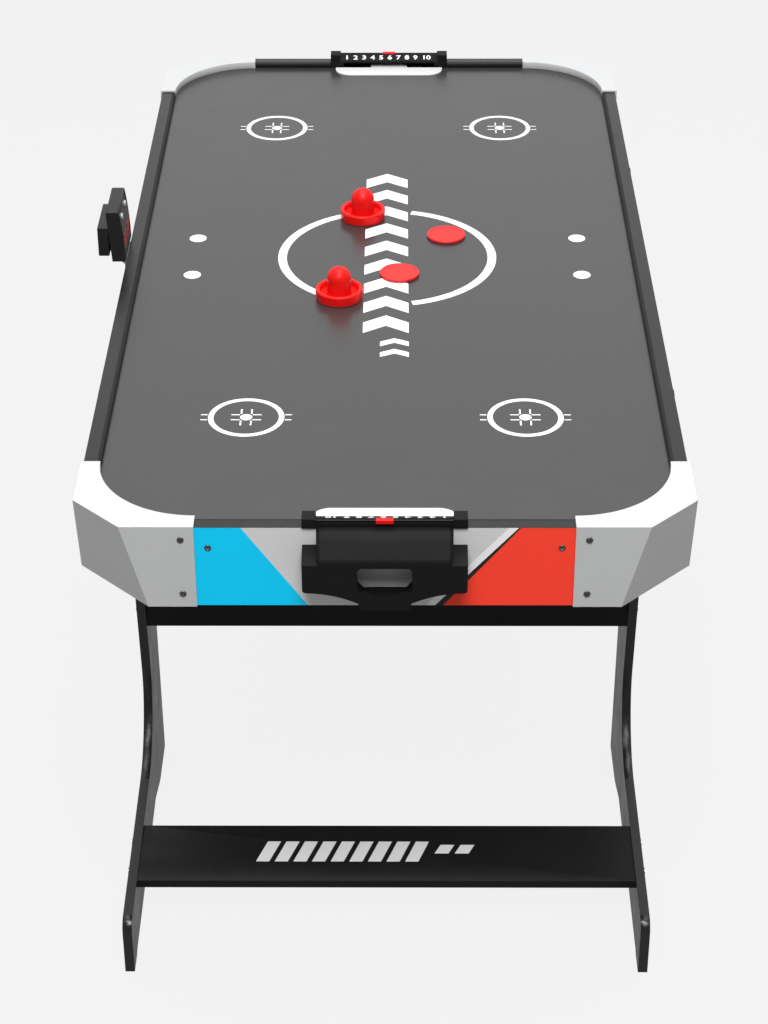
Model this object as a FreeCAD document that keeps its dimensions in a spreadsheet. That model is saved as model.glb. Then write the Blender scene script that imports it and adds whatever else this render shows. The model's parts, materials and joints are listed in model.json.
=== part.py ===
import FreeCAD, Part
import math
import os
import re
import Sketcher

# Air hockey table, 4.5 ft class. Origin on the floor under the table's centre,
# +Z up, +X to the right and -Y towards the player at the near end. Millimetres.

os.makedirs("parts", exist_ok=True)
doc = FreeCAD.newDocument("air_hockey_table")
Vector = FreeCAD.Vector
AXES = {"X": Vector(1, 0, 0), "Y": Vector(0, 1, 0), "Z": Vector(0, 0, 1)}

# --------------------------------------------------------------------------
# Driving dimensions. Heights named *_top, *_base or *_level are above the floor.
# --------------------------------------------------------------------------
DIMENSIONS = {
    # boards
    "half_width": 345, "half_length": 686, "board": 15,
    "play_top": 690, "rail_rise": 8, "board_drop": 95,
    "side_board_half": 598, "end_board_half": 258,
    # playfield and air chamber
    "play_thick": 9, "play_half_x": 329.5, "play_half_y": 670.5, "play_corner_sum": 955,
    "chamber_depth": 60, "base_thick": 3, "batten": 15, "base_half_x": 309, "base_half_y": 550,
    "block_low": 88, "block_start": 540, "block_narrow": 200,
    # rail strips
    "strip": 4.5, "strip_round": 3,
    # corner caps
    "cap_side": 348, "cap_front": 689, "cap_rise": 10.5, "cap_start_x": 209.5,
    "cap_start_y": 549, "corner_radius": 116, "cap_wall": 3,
    "cap_top_sum": 981, "cap_low_sum": 953,
    "cap_screw_inset": 15, "cap_screw_high": 6.5, "cap_screw_low": 77.5,
    "screw_head": 3.9, "screw_head_tall": 1.6, "screw_shank": 2, "screw_depth": 10,
    "end_screw_x": 195, "end_screw_drop": 18.5,
    # goals
    "notch_half": 71.5, "goal_half": 75.5, "goal_floor_drop": 14, "plate_half": 83, "plate_back": 665.5,
    "plate_front": 635, "plate_thick": 1.5, "plate_round": 24, "tongue_half": 28, "tongue_end": 683,
    # slide scorer
    "post_out": 91, "post_front": 670, "post_back": 688.5, "post_rise": 20.3,
    "strip_front": 667, "strip_back": 681.5, "strip_low": 8, "strip_high": 17.2,
    "ledge_back": 685.5, "ledge_rise": 12.8,
    "rod_radius": 1.4, "rod_y": 685.4, "rod_rise": 16.6, "rod_half": 86,
    "bead_half": 9.6, "bead_near_y": 682.4, "bead_far_y": 688.5, "bead_low": 14.2, "bead_high": 19,
    "running_gap": 0.06,
    # puck catcher
    "hood_half": 74, "tray_half": 91, "tray_front": 720, "tray_wall": 2.5, "hood_top": 9,
    "tray_back_drop": 14, "tray_front_drop": 20, "tray_low": 57, "skirt_low": 71, "tab_half": 29,
    "tab_low": 79, "tab_cut": 4, "swoop_radius": 131.3, "swoop_x": 88, "well_half": 30.5,
    "well_step": 62, "well_floor_half": 24, "well_low": 70,
    "window_half": 30, "window_high": 24, "window_low": 55, "finger_radius": 27.8, "finger_low": 63,
    # legs
    "leg_inner": 318, "leg_thick": 12, "waist_radius": 100, "toe_radius": 18, "arch_radius": 40,
    "bolt_radius": 3.9, "bolt_hole": 4, "bolt_a_y": 330, "bolt_a_drop": 40,
    "bolt_b_y": 238, "bolt_b_drop": 66, "cover_radius": 22, "cover_tall": 7.5,
    "panel_thick": 12, "panel_front": 283, "panel_low": 404, "panel_high": 284,
    "foot_board_wide": 102, "foot_board_back": 455, "foot_board_drop": 602.5, "foot_tilt": 3.5,
    "frame_screw": 2.5, "frame_screw_long": 45,
    # blower
    "fan_hole": 44, "volute_radius": 58, "volute_tall": 29, "shell": 2, "grille_hole": 32,
    "impeller_radius": 46, "impeller_tall": 18, "hub_radius": 17, "motor_radius": 13, "motor_tall": 19,
    "blade_long": 24, "blade_thick": 1.6,
    # side scoreboard
    "score_half": 39.5, "score_y": 4.5, "score_base": 699.5, "score_top": 770,
    "score_in_top": 350.7, "score_in_low": 345.6, "score_deep": 17.5, "score_bow": 2.2,
    "score_bow_radius": 480,
    "battery_half": 38, "battery_low": 708, "battery_top": 748, "battery_deep": 14,
    "face_inset": 4.5, "face_thick": 1.6, "button_radius": 4.5, "button_drop": 14, "button_apart": 20,
    "bracket_thick": 4, "bracket_half": 22, "bracket_drop": 46,
    # power panel on the right side board
    "power_y": 60, "power_drop": 48, "power_half_y": 34, "power_half_z": 15, "power_thick": 2,
    "power_box_half_y": 28, "power_box_half_z": 10, "jack_radius": 5.6, "jack_bore": 2.8,
    "rocker_half_y": 9, "rocker_half_z": 6,
    # loose pieces
    "striker_radius": 30.8, "striker_wall": 5.4, "striker_rim": 14, "knob_radius": 15.5,
    "striker_tall": 43, "felt_thick": 1, "puck_radius": 26, "puck_thick": 4,
}

sheet = doc.addObject("Spreadsheet::Sheet", "dims")
for row, (alias, number) in enumerate(DIMENSIONS.items(), start=1):
    sheet.set("A%d" % row, alias)
    sheet.set("B%d" % row, str(number))
    sheet.setAlias("B%d" % row, alias)
doc.recompute()
PARTS = []


# --------------------------------------------------------------------------
# Helpers: bound expressions, placed primitives, sketches on origin planes
# --------------------------------------------------------------------------
def bound(text):
    """Turns the plain dimension names in a formula into references to the sheet."""
    def swap(match):
        word = match.group(0)
        return "dims." + word if word in DIMENSIONS else word
    return re.sub(r"[A-Za-z_][A-Za-z_0-9]*", swap, str(text))


def bind(item, prop, text):
    item.setExpression(prop, bound(text))


def finish(item, label):
    item.Label = label
    PARTS.append(item)
    return item


def place(item, x="0", y="0", z="0"):
    for axis, text in zip("xyz", (x, y, z)):
        bind(item, "Placement.Base." + axis, text)
    return item


def box(name, low, size, tilt_x=None):
    item = doc.addObject("Part::Box", name)
    for prop, text in zip(("Length", "Width", "Height"), size):
        bind(item, prop, text)
    if tilt_x is not None:
        item.Placement = FreeCAD.Placement(Vector(), FreeCAD.Rotation(AXES["X"], 1))
        bind(item, "Placement.Rotation.Angle", tilt_x)
    return place(item, *low)


def rod(name, start, radius, length, axis="Z"):
    """A cylinder that runs from start along +axis."""
    item = doc.addObject("Part::Cylinder", name)
    bind(item, "Radius", radius)
    bind(item, "Height", length)
    turn = FreeCAD.Rotation(AXES["Z"], AXES[axis])
    item.Placement = FreeCAD.Placement(Vector(), turn)
    return place(item, *start)


def fuse(name, items):
    if len(items) == 1:
        return items[0]
    item = doc.addObject("Part::MultiFuse", name)
    item.Shapes = items
    return item


def group(name, items):
    """Separate solids that share one node."""
    item = doc.addObject("Part::Compound", name)
    item.Links = items
    return item


def cut(name, base, tools):
    item = doc.addObject("Part::Cut", name)
    item.Base = base
    item.Tool = fuse(name + "_tools", tools)
    return item


def turned(item):
    """Turns a near end piece half round the table's centre, to the far end."""
    item.Placement = FreeCAD.Placement(Vector(), FreeCAD.Rotation(AXES["Z"], 180))
    return item


def new_body(name):
    return doc.addObject("PartDesign::Body", name)


def new_sketch(body, name, plane, offset=None):
    """A sketch on one of the body's own origin planes, moved along the plane's normal."""
    sketch = body.newObject("Sketcher::SketchObject", name)
    support = [f for f in body.Origin.OriginFeatures if f.Role == plane + "_Plane"][0]
    sketch.AttachmentSupport = [(support, "")]
    sketch.MapMode = "FlatFace"
    if offset is not None:
        bind(sketch, "AttachmentOffset.Base.z", offset)
    return sketch


def pin_point(sketch, index, end, x, y):
    """Fixes one end of a sketch element at the bound position x, y."""
    at = sketch.getPoint(index, end)
    for kind, here, text in (("DistanceX", at.x, x), ("DistanceY", at.y, y)):
        number = sketch.addConstraint(Sketcher.Constraint(kind, -1, 1, index, end, here))
        sketch.setExpression("Constraints[%d]" % number, bound(text))


def polygon(sketch, corners):
    """Closed straight outline whose corners are pairs of bound positions."""
    count = len(corners)
    first = sketch.GeometryCount
    ring = [Vector(math.cos(2 * math.pi * k / count), math.sin(2 * math.pi * k / count), 0)
            for k in range(count)]
    for k in range(count):
        sketch.addGeometry(Part.LineSegment(ring[k], ring[(k + 1) % count]), False)
    for k in range(count):
        following = first + (k + 1) % count
        sketch.addConstraint(Sketcher.Constraint("Coincident", first + k, 2, following, 1))
    for k, (x, y) in enumerate(corners):
        pin_point(sketch, first + k, 1, x, y)


def rectangle(sketch, x0, y0, x1, y1):
    polygon(sketch, [(x0, y0), (x1, y0), (x1, y1), (x0, y1)])


def circle(sketch, x, y, radius):
    index = sketch.addGeometry(Part.Circle(Vector(1, 1, 0), AXES["Z"], 1), False)
    pin_point(sketch, index, 3, x, y)
    number = sketch.addConstraint(Sketcher.Constraint("Radius", index, 1.0))
    sketch.setExpression("Constraints[%d]" % number, bound(radius))


def grow(body, kind, name, sketch, length, symmetric=False, reverse=False):
    """A Pad or Pocket of a sketch. Its volume is checked against the one before it."""
    doc.recompute()
    before = body.Shape.Volume if body.Tip else 0
    item = body.newObject("PartDesign::" + kind, name)
    item.Profile = sketch
    bind(item, "Length", length)
    item.SideType = "Symmetric" if symmetric else "One side"
    item.Reversed = reverse
    doc.recompute()
    change = body.Shape.Volume - before
    if (kind == "Pad") != (change > 0):
        raise SystemExit("%s of %s changes the volume by %.1f" % (kind, name, change))
    return item


def round_edges(body, name, radius, wanted):
    """Fillets the edges of the body's tip for which wanted(edge) is true."""
    doc.recompute()
    base = body.Tip
    names = ["Edge%d" % (k + 1) for k, edge in enumerate(base.Shape.Edges) if wanted(edge)]
    if not names:
        raise SystemExit("no edge found for " + name)
    item = body.newObject("PartDesign::Fillet", name)
    item.Base = (base, names)
    bind(item, "Radius", radius)
    doc.recompute()
    return item


def along(edge, axis):
    """True for a straight edge that runs along the named axis."""
    if len(edge.Vertexes) != 2 or not isinstance(edge.Curve, Part.Line):
        return False
    run = edge.Vertexes[1].Point.sub(edge.Vertexes[0].Point)
    return abs(run.normalize().dot(AXES[axis])) > 0.999


def near(value, target, slack=0.6):
    return abs(value - target) < slack


# --------------------------------------------------------------------------
# Boards, playfield and air chamber
# --------------------------------------------------------------------------
CAP_SCREW_DROPS = ("cap_screw_high", "cap_screw_low")
SIDES = {"left": -1, "right": 1}
ENDS = {"near": -1, "far": 1}


def side_board(side):
    sign = SIDES[side]
    low_x = "half_width - board" if sign > 0 else "-half_width"
    board = box(side + "_blank", (low_x, "-side_board_half", "play_top - board_drop"),
                ("board", "2 * side_board_half", "board_drop + rail_rise"))
    tools = []
    for end, way in ENDS.items():
        for tag, y, drop in (("a", "bolt_a_y", "bolt_a_drop"), ("b", "bolt_b_y", "bolt_b_drop")):
            tools.append(rod("%s_%s_bolt_%s" % (side, end, tag),
                             ("%s - 1" % low_x, "%d * %s" % (way, y), "play_top - " + drop),
                             "bolt_hole", "board + 2", "X"))
        for drop in CAP_SCREW_DROPS:
            y = "%d * (cap_start_y + cap_screw_inset)" % way
            start = "half_width - screw_depth" if sign > 0 else "-half_width - 1"
            tools.append(rod("%s_%s_%s" % (side, end, drop), (start, y, "play_top - " + drop),
                             "screw_shank + running_gap", "screw_depth + 1", "X"))
    if sign > 0:
        tools.append(box("power_cutout",
                         ("half_width - board - 1", "power_y - power_box_half_y - 1",
                          "play_top - power_drop - power_box_half_z - 1"),
                         ("board + 2", "2 * power_box_half_y + 2", "2 * power_box_half_z + 2")))
    else:
        for k in (-1, 1):
            tools.append(rod("bracket_hole_%d" % (k + 1),
                             ("-half_width - 1", "score_y + %d * 12" % k, "play_top - 30"),
                             "screw_shank + running_gap", "screw_depth + 1", "X"))
    finish(cut("SideBoard_" + side, board, tools), "side_board_" + side)


def end_board(end):
    way = ENDS[end]
    low_y = "half_length - board" if way > 0 else "-half_length"
    board = box(end + "_blank", ("-end_board_half", low_y, "play_top - board_drop"),
                ("2 * end_board_half", "board", "board_drop + rail_rise"))
    tools = [box(end + "_goal", ("-notch_half", "%s - 1" % low_y, "play_top - goal_floor_drop"),
                 ("2 * notch_half", "board + 2", "goal_floor_drop + rail_rise + 1"))]
    start = "half_length - screw_depth" if way > 0 else "-half_length - 1"
    for sign in (-1, 1):
        for drop in CAP_SCREW_DROPS:
            x = "%d * (cap_start_x + cap_screw_inset)" % sign
            tools.append(rod("%s_%d_%s" % (end, sign + 1, drop), (x, start, "play_top - " + drop),
                             "screw_shank + running_gap", "screw_depth + 1", "Y"))
        tools.append(rod("%s_%d_end_screw" % (end, sign + 1),
                         ("%d * end_screw_x" % sign, start, "play_top - end_screw_drop"),
                         "screw_shank + running_gap", "screw_depth + 1", "Y"))
    finish(cut("EndBoard_" + end, board, tools), "end_board_" + end)


def playfield():
    body = new_body("Playfield")
    sketch = new_sketch(body, "playfield_outline", "XY", "play_top - play_thick")
    corners = []
    for sx, sy in ((1, 1), (-1, 1), (-1, -1), (1, -1)):
        by_side = ("%d * play_half_x" % sx, "%d * (play_corner_sum - play_half_x)" % sy)
        by_end = ("%d * (play_corner_sum - play_half_y)" % sx, "%d * play_half_y" % sy)
        corners += [by_side, by_end] if sx * sy > 0 else [by_end, by_side]
    polygon(sketch, corners)
    grow(body, "Pad", "playfield_pad", sketch, "play_thick")
    finish(body, "playfield_board")


def air_chamber():
    floor_z = "play_top - chamber_depth - base_thick"
    blank = box("base_blank", ("-base_half_x", "-base_half_y", floor_z),
                ("2 * base_half_x", "2 * base_half_y", "base_thick"))
    hole = rod("base_fan_hole", ("0", "0", floor_z + " - 1"), "fan_hole", "base_thick + 2")
    finish(cut("BasePanel", blank, [hole]), "base_panel")

    tall = "chamber_depth - play_thick"
    low_z = "play_top - chamber_depth"
    battens = []
    for k in (-1, 1):
        x = "-base_half_x" if k < 0 else "base_half_x - batten"
        battens.append(box("long_batten_%d" % (k + 1), (x, "-base_half_y + batten", low_z),
                           ("batten", "2 * base_half_y - 2 * batten", tall)))
        y = "-base_half_y" if k < 0 else "base_half_y - batten"
        battens.append(box("cross_batten_%d" % (k + 1), ("-base_half_x", y, low_z),
                           ("2 * base_half_x", "batten", tall)))
    finish(group("Battens", battens), "chamber_battens")

    blocks = []
    for sx in (-1, 1):
        for sy in (-1, 1):
            body = new_body("CornerBlock_%d%d" % (sx + 1, sy + 1))
            sketch = new_sketch(body, "block_outline_%d%d" % (sx + 1, sy + 1), "XY",
                                "play_top - block_low")
            inner_x = "%d * (half_width - board)" % sx
            inner_y = "%d * (half_length - board)" % sy
            polygon(sketch, [(inner_x, "%d * block_start" % sy), (inner_x, "%d * side_board_half" % sy),
                             ("%d * end_board_half" % sx, inner_y), ("%d * block_narrow" % sx, inner_y)])
            grow(body, "Pad", "block_pad_%d%d" % (sx + 1, sy + 1), sketch, "block_low - play_thick")
            blocks.append(body)
    finish(group("CornerBlocks", blocks), "corner_blocks")


def rail_strips():
    """Low bumper strips round the playfield, rounded along the top edge that faces the play."""
    for side, sign in SIDES.items():
        body = new_body("SideStrip_" + side)
        sketch = new_sketch(body, "side_strip_outline_" + side, "XZ")
        rectangle(sketch, "%d * (half_width - board - strip)" % sign, "play_top",
                  "%d * (half_width - board)" % sign, "play_top + rail_rise")
        grow(body, "Pad", "side_strip_pad_" + side, sketch, "2 * cap_start_y", symmetric=True)
        round_edges(body, "side_strip_round_" + side, "strip_round",
                    lambda edge: along(edge, "Y") and near(abs(edge.CenterOfMass.x), 325.5)
                    and near(edge.CenterOfMass.z, 698))
        finish(body, "rail_strip_" + side)
    for end, way in ENDS.items():
        pieces = []
        for sign in (-1, 1):
            tag = "%s_%d" % (end, sign + 1)
            body = new_body("EndStrip_" + tag)
            sketch = new_sketch(body, "end_strip_outline_" + tag, "YZ",
                                "%d * (cap_start_x + post_out + 0.5) / 2" % sign)
            rectangle(sketch, "%d * (half_length - board - strip)" % way, "play_top",
                      "%d * (half_length - board)" % way, "play_top + rail_rise")
            grow(body, "Pad", "end_strip_pad_" + tag, sketch, "cap_start_x - post_out - 0.5",
                 symmetric=True)
            round_edges(body, "end_strip_round_" + tag, "strip_round",
                        lambda edge: along(edge, "X") and near(abs(edge.CenterOfMass.y), 666.5)
                        and near(edge.CenterOfMass.z, 698))
            pieces.append(body)
        finish(group("EndStrips_" + end, pieces), "rail_strips_" + end)


# --------------------------------------------------------------------------
# Corner caps: hollow mouldings with a slanted outer corner and a curved inner wall
# --------------------------------------------------------------------------
def cap_outline(sketch, start_x, start_y, side, front, total):
    polygon(sketch, [(start_x, start_y), (side, start_y), (side, "%s - (%s)" % (total, side)),
                     ("%s - (%s)" % (total, front), front), (start_x, front)])


def loft(body, kind, name, lower, upper):
    item = body.newObject("PartDesign::" + kind, name)
    item.Profile = lower
    item.Sections = [upper]
    item.Ruled = True
    doc.recompute()
    return item


def corner_caps():
    body = new_body("CornerCap")
    low = "play_top - board_drop"
    lean = "(cap_top_sum - cap_low_sum) / (board_drop + cap_rise)"
    outer_low = new_sketch(body, "cap_outer_low", "XY", low)
    cap_outline(outer_low, "cap_start_x", "cap_start_y", "cap_side", "cap_front", "cap_low_sum")
    outer_top = new_sketch(body, "cap_outer_top", "XY", "play_top + cap_rise")
    cap_outline(outer_top, "cap_start_x", "cap_start_y", "cap_side", "cap_front", "cap_top_sum")
    loft(body, "AdditiveLoft", "cap_block", outer_low, outer_top)
    solid_volume = body.Shape.Volume

    wall_sum = "cap_wall * 1.46"
    hollow_low = new_sketch(body, "cap_hollow_low", "XY", low + " - 1")
    cap_outline(hollow_low, "cap_start_x - 1", "cap_start_y - 1", "half_width", "half_length",
                "cap_low_sum - %s - %s" % (lean, wall_sum))
    hollow_top = new_sketch(body, "cap_hollow_top", "XY", "play_top + rail_rise")
    cap_outline(hollow_top, "cap_start_x - 1", "cap_start_y - 1", "half_width", "half_length",
                "cap_top_sum - %s * (cap_rise - rail_rise) - %s" % (lean, wall_sum))
    loft(body, "SubtractiveLoft", "cap_hollow", hollow_low, hollow_top)
    if body.Shape.Volume > 0.5 * solid_volume:
        raise SystemExit("the corner cap isn't hollow")

    wall = new_sketch(body, "cap_wall_outline", "XY", "play_top")
    arc = wall.addGeometry(Part.ArcOfCircle(Part.Circle(Vector(200, 500, 0), AXES["Z"], 119),
                                            0, math.pi / 2), False)
    across = wall.addGeometry(Part.LineSegment(Vector(200, 619, 0), Vector(200, 500, 0)), False)
    back = wall.addGeometry(Part.LineSegment(Vector(200, 500, 0), Vector(319, 500, 0)), False)
    for first, end_a, second, end_b in ((arc, 2, across, 1), (across, 2, back, 1), (back, 2, arc, 1)):
        wall.addConstraint(Sketcher.Constraint("Coincident", first, end_a, second, end_b))
    wall.addConstraint(Sketcher.Constraint("Coincident", across, 2, arc, 3))
    wall.addConstraint(Sketcher.Constraint("Vertical", across))
    wall.addConstraint(Sketcher.Constraint("Horizontal", back))
    pin_point(wall, arc, 3, "cap_start_x", "cap_start_y")
    number = wall.addConstraint(Sketcher.Constraint("Radius", arc, 119))
    wall.setExpression("Constraints[%d]" % number, bound("corner_radius + cap_wall"))
    grow(body, "Pad", "cap_inner_wall", wall, "rail_rise + 0.5")

    mouth = new_sketch(body, "cap_mouth_outline", "XY", "play_top")
    circle(mouth, "cap_start_x", "cap_start_y", "corner_radius")
    grow(body, "Pocket", "cap_mouth", mouth, "3 * cap_rise", symmetric=True)

    # An XZ plane's normal is -Y, so the offset towards +Y is negative.
    front_holes = new_sketch(body, "cap_front_holes", "XZ", "-(cap_front)")
    side_holes = new_sketch(body, "cap_side_holes", "YZ", "cap_side")
    for drop in CAP_SCREW_DROPS:
        circle(front_holes, "cap_start_x + cap_screw_inset", "play_top - " + drop, "screw_shank + 0.1")
        circle(side_holes, "cap_start_y + cap_screw_inset", "play_top - " + drop, "screw_shank + 0.1")
    grow(body, "Pocket", "cap_front_drill", front_holes, "4 * cap_wall", symmetric=True)
    grow(body, "Pocket", "cap_side_drill", side_holes, "4 * cap_wall", symmetric=True)
    finish(body, "corner_cap_far_right")

    near_right = mirrored("CapNearRight", body, "Y")
    finish(near_right, "corner_cap_near_right")
    finish(mirrored("CapFarLeft", body, "X"), "corner_cap_far_left")
    finish(mirrored("CapNearLeft", near_right, "X"), "corner_cap_near_left")


def mirrored(name, source, axis):
    item = doc.addObject("Part::Mirroring", name)
    item.Source = source
    item.Normal = AXES[axis]
    return item


def pan_screw(name, x, y, z, axis, way):
    """Domed screw whose head sits at x, y, z and whose shank runs back along -way * axis."""
    start = {"X": [x, y, z], "Y": [x, y, z]}[axis]
    place_in = 0 if axis == "X" else 1
    head_start = list(start)
    shank_start = list(start)
    if way < 0:
        head_start[place_in] = "%s - screw_head_tall" % start[place_in]
        shank_start[place_in] = start[place_in]
    else:
        shank_start[place_in] = "%s - screw_depth" % start[place_in]
    head = rod(name + "_head", head_start, "screw_head", "screw_head_tall", axis)
    shank = rod(name + "_shank", shank_start, "screw_shank", "screw_depth", axis)
    return fuse(name, [head, shank])


def panel_screws():
    caps = []
    ends = []
    for end, way in ENDS.items():
        for side, sign in SIDES.items():
            for drop in CAP_SCREW_DROPS:
                z = "play_top - " + drop
                tag = "%s_%s_%s" % (end, side, drop)
                caps.append(pan_screw("front_" + tag, "%d * (cap_start_x + cap_screw_inset)" % sign,
                                      "%d * cap_front" % way, z, "Y", way))
                caps.append(pan_screw("side_" + tag, "%d * cap_side" % sign,
                                      "%d * (cap_start_y + cap_screw_inset)" % way, z, "X", sign))
            ends.append(pan_screw("end_%s_%s" % (end, side), "%d * end_screw_x" % sign,
                                  "%d * half_length" % way, "play_top - end_screw_drop", "Y", way))
    finish(group("CapScrews", caps), "corner_cap_screws")
    finish(group("EndScrews", ends), "end_board_screws")


# --------------------------------------------------------------------------
# Goals. Each piece is made for the near end, and turned round for the far end.
# --------------------------------------------------------------------------
def goal_plate(end):
    body = new_body("GoalPlate_" + end)
    sketch = new_sketch(body, "plate_outline_" + end, "XY", "play_top")
    rectangle(sketch, "-plate_half", "-plate_back", "plate_half", "-plate_front")
    grow(body, "Pad", "plate_pad_" + end, sketch, "plate_thick")
    tongue = new_sketch(body, "tongue_outline_" + end, "XY", "play_top")
    rectangle(tongue, "-tongue_half", "-tongue_end", "tongue_half", "-plate_back")
    grow(body, "Pad", "tongue_pad_" + end, tongue, "plate_thick")
    round_edges(body, "plate_round_" + end, "plate_round",
                lambda edge: along(edge, "Z") and edge.CenterOfMass.y > -656)
    round_edges(body, "tongue_round_" + end, "plate_round * 0.4",
                lambda edge: along(edge, "Z") and edge.CenterOfMass.y < -680)
    if end == "far":
        turned(body)
    finish(body, "goal_plate_" + end)


def slide_scorer(end):
    """Two posts on the end board, the slanted number strip between them, the rod and its bead."""
    body = new_body("ScorerFrame_" + end)
    strip = new_sketch(body, "number_strip_" + end, "YZ")
    polygon(strip, [("-strip_front", "play_top + strip_low"), ("-strip_front", "play_top + strip_low + 3"),
                    ("-strip_back", "play_top + strip_high"), ("-strip_back", "play_top + ledge_rise"),
                    ("-ledge_back", "play_top + ledge_rise"), ("-ledge_back", "play_top + strip_low")])
    grow(body, "Pad", "number_strip_pad_" + end, strip, "2 * goal_half + 4", symmetric=True)
    posts = new_sketch(body, "posts_" + end, "XY", "play_top + rail_rise")
    feet = new_sketch(body, "post_feet_" + end, "XY", "play_top")
    for sign in (-1, 1):
        rectangle(posts, "%d * goal_half" % sign, "-post_back", "%d * post_out" % sign, "-post_front")
        rectangle(feet, "%d * goal_half" % sign, "-half_length + board", "%d * post_out" % sign,
                  "-strip_front")
    grow(body, "Pad", "posts_pad_" + end, posts, "post_rise - rail_rise")
    grow(body, "Pad", "post_feet_pad_" + end, feet, "rail_rise + 1")
    round_edges(body, "posts_round_" + end, "1.2",
                lambda edge: near(edge.CenterOfMass.z, 710.3, 0.2) and abs(edge.CenterOfMass.x) > 75)
    bore = new_sketch(body, "rod_bore_" + end, "YZ")
    circle(bore, "-rod_y", "play_top + rod_rise", "rod_radius + running_gap")
    grow(body, "Pocket", "rod_bore_pocket_" + end, bore, "2 * rod_half + 1", symmetric=True)

    rail = rod("ScorerRod_" + end, ("-rod_half", "-rod_y", "play_top + rod_rise"),
               "rod_radius", "2 * rod_half", "X")

    bead = new_body("ScorerBead_" + end)
    outline = new_sketch(bead, "bead_outline_" + end, "YZ")
    rectangle(outline, "-bead_far_y", "play_top + bead_low", "-bead_near_y", "play_top + bead_high")
    circle(outline, "-rod_y", "play_top + rod_rise", "rod_radius + running_gap")
    grow(bead, "Pad", "bead_pad_" + end, outline, "2 * bead_half", symmetric=True)
    round_edges(bead, "bead_round_" + end, "1",
                lambda edge: along(edge, "X") and near(edge.CenterOfMass.z, 709, 0.2))
    if end == "far":
        turned(body)
        turned(bead)
        bind(rail, "Placement.Base.y", "rod_y")
    finish(body, "scorer_frame_" + end)
    finish(rail, "scorer_rod_" + end)
    finish(bead, "scorer_bead_" + end)


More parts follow.
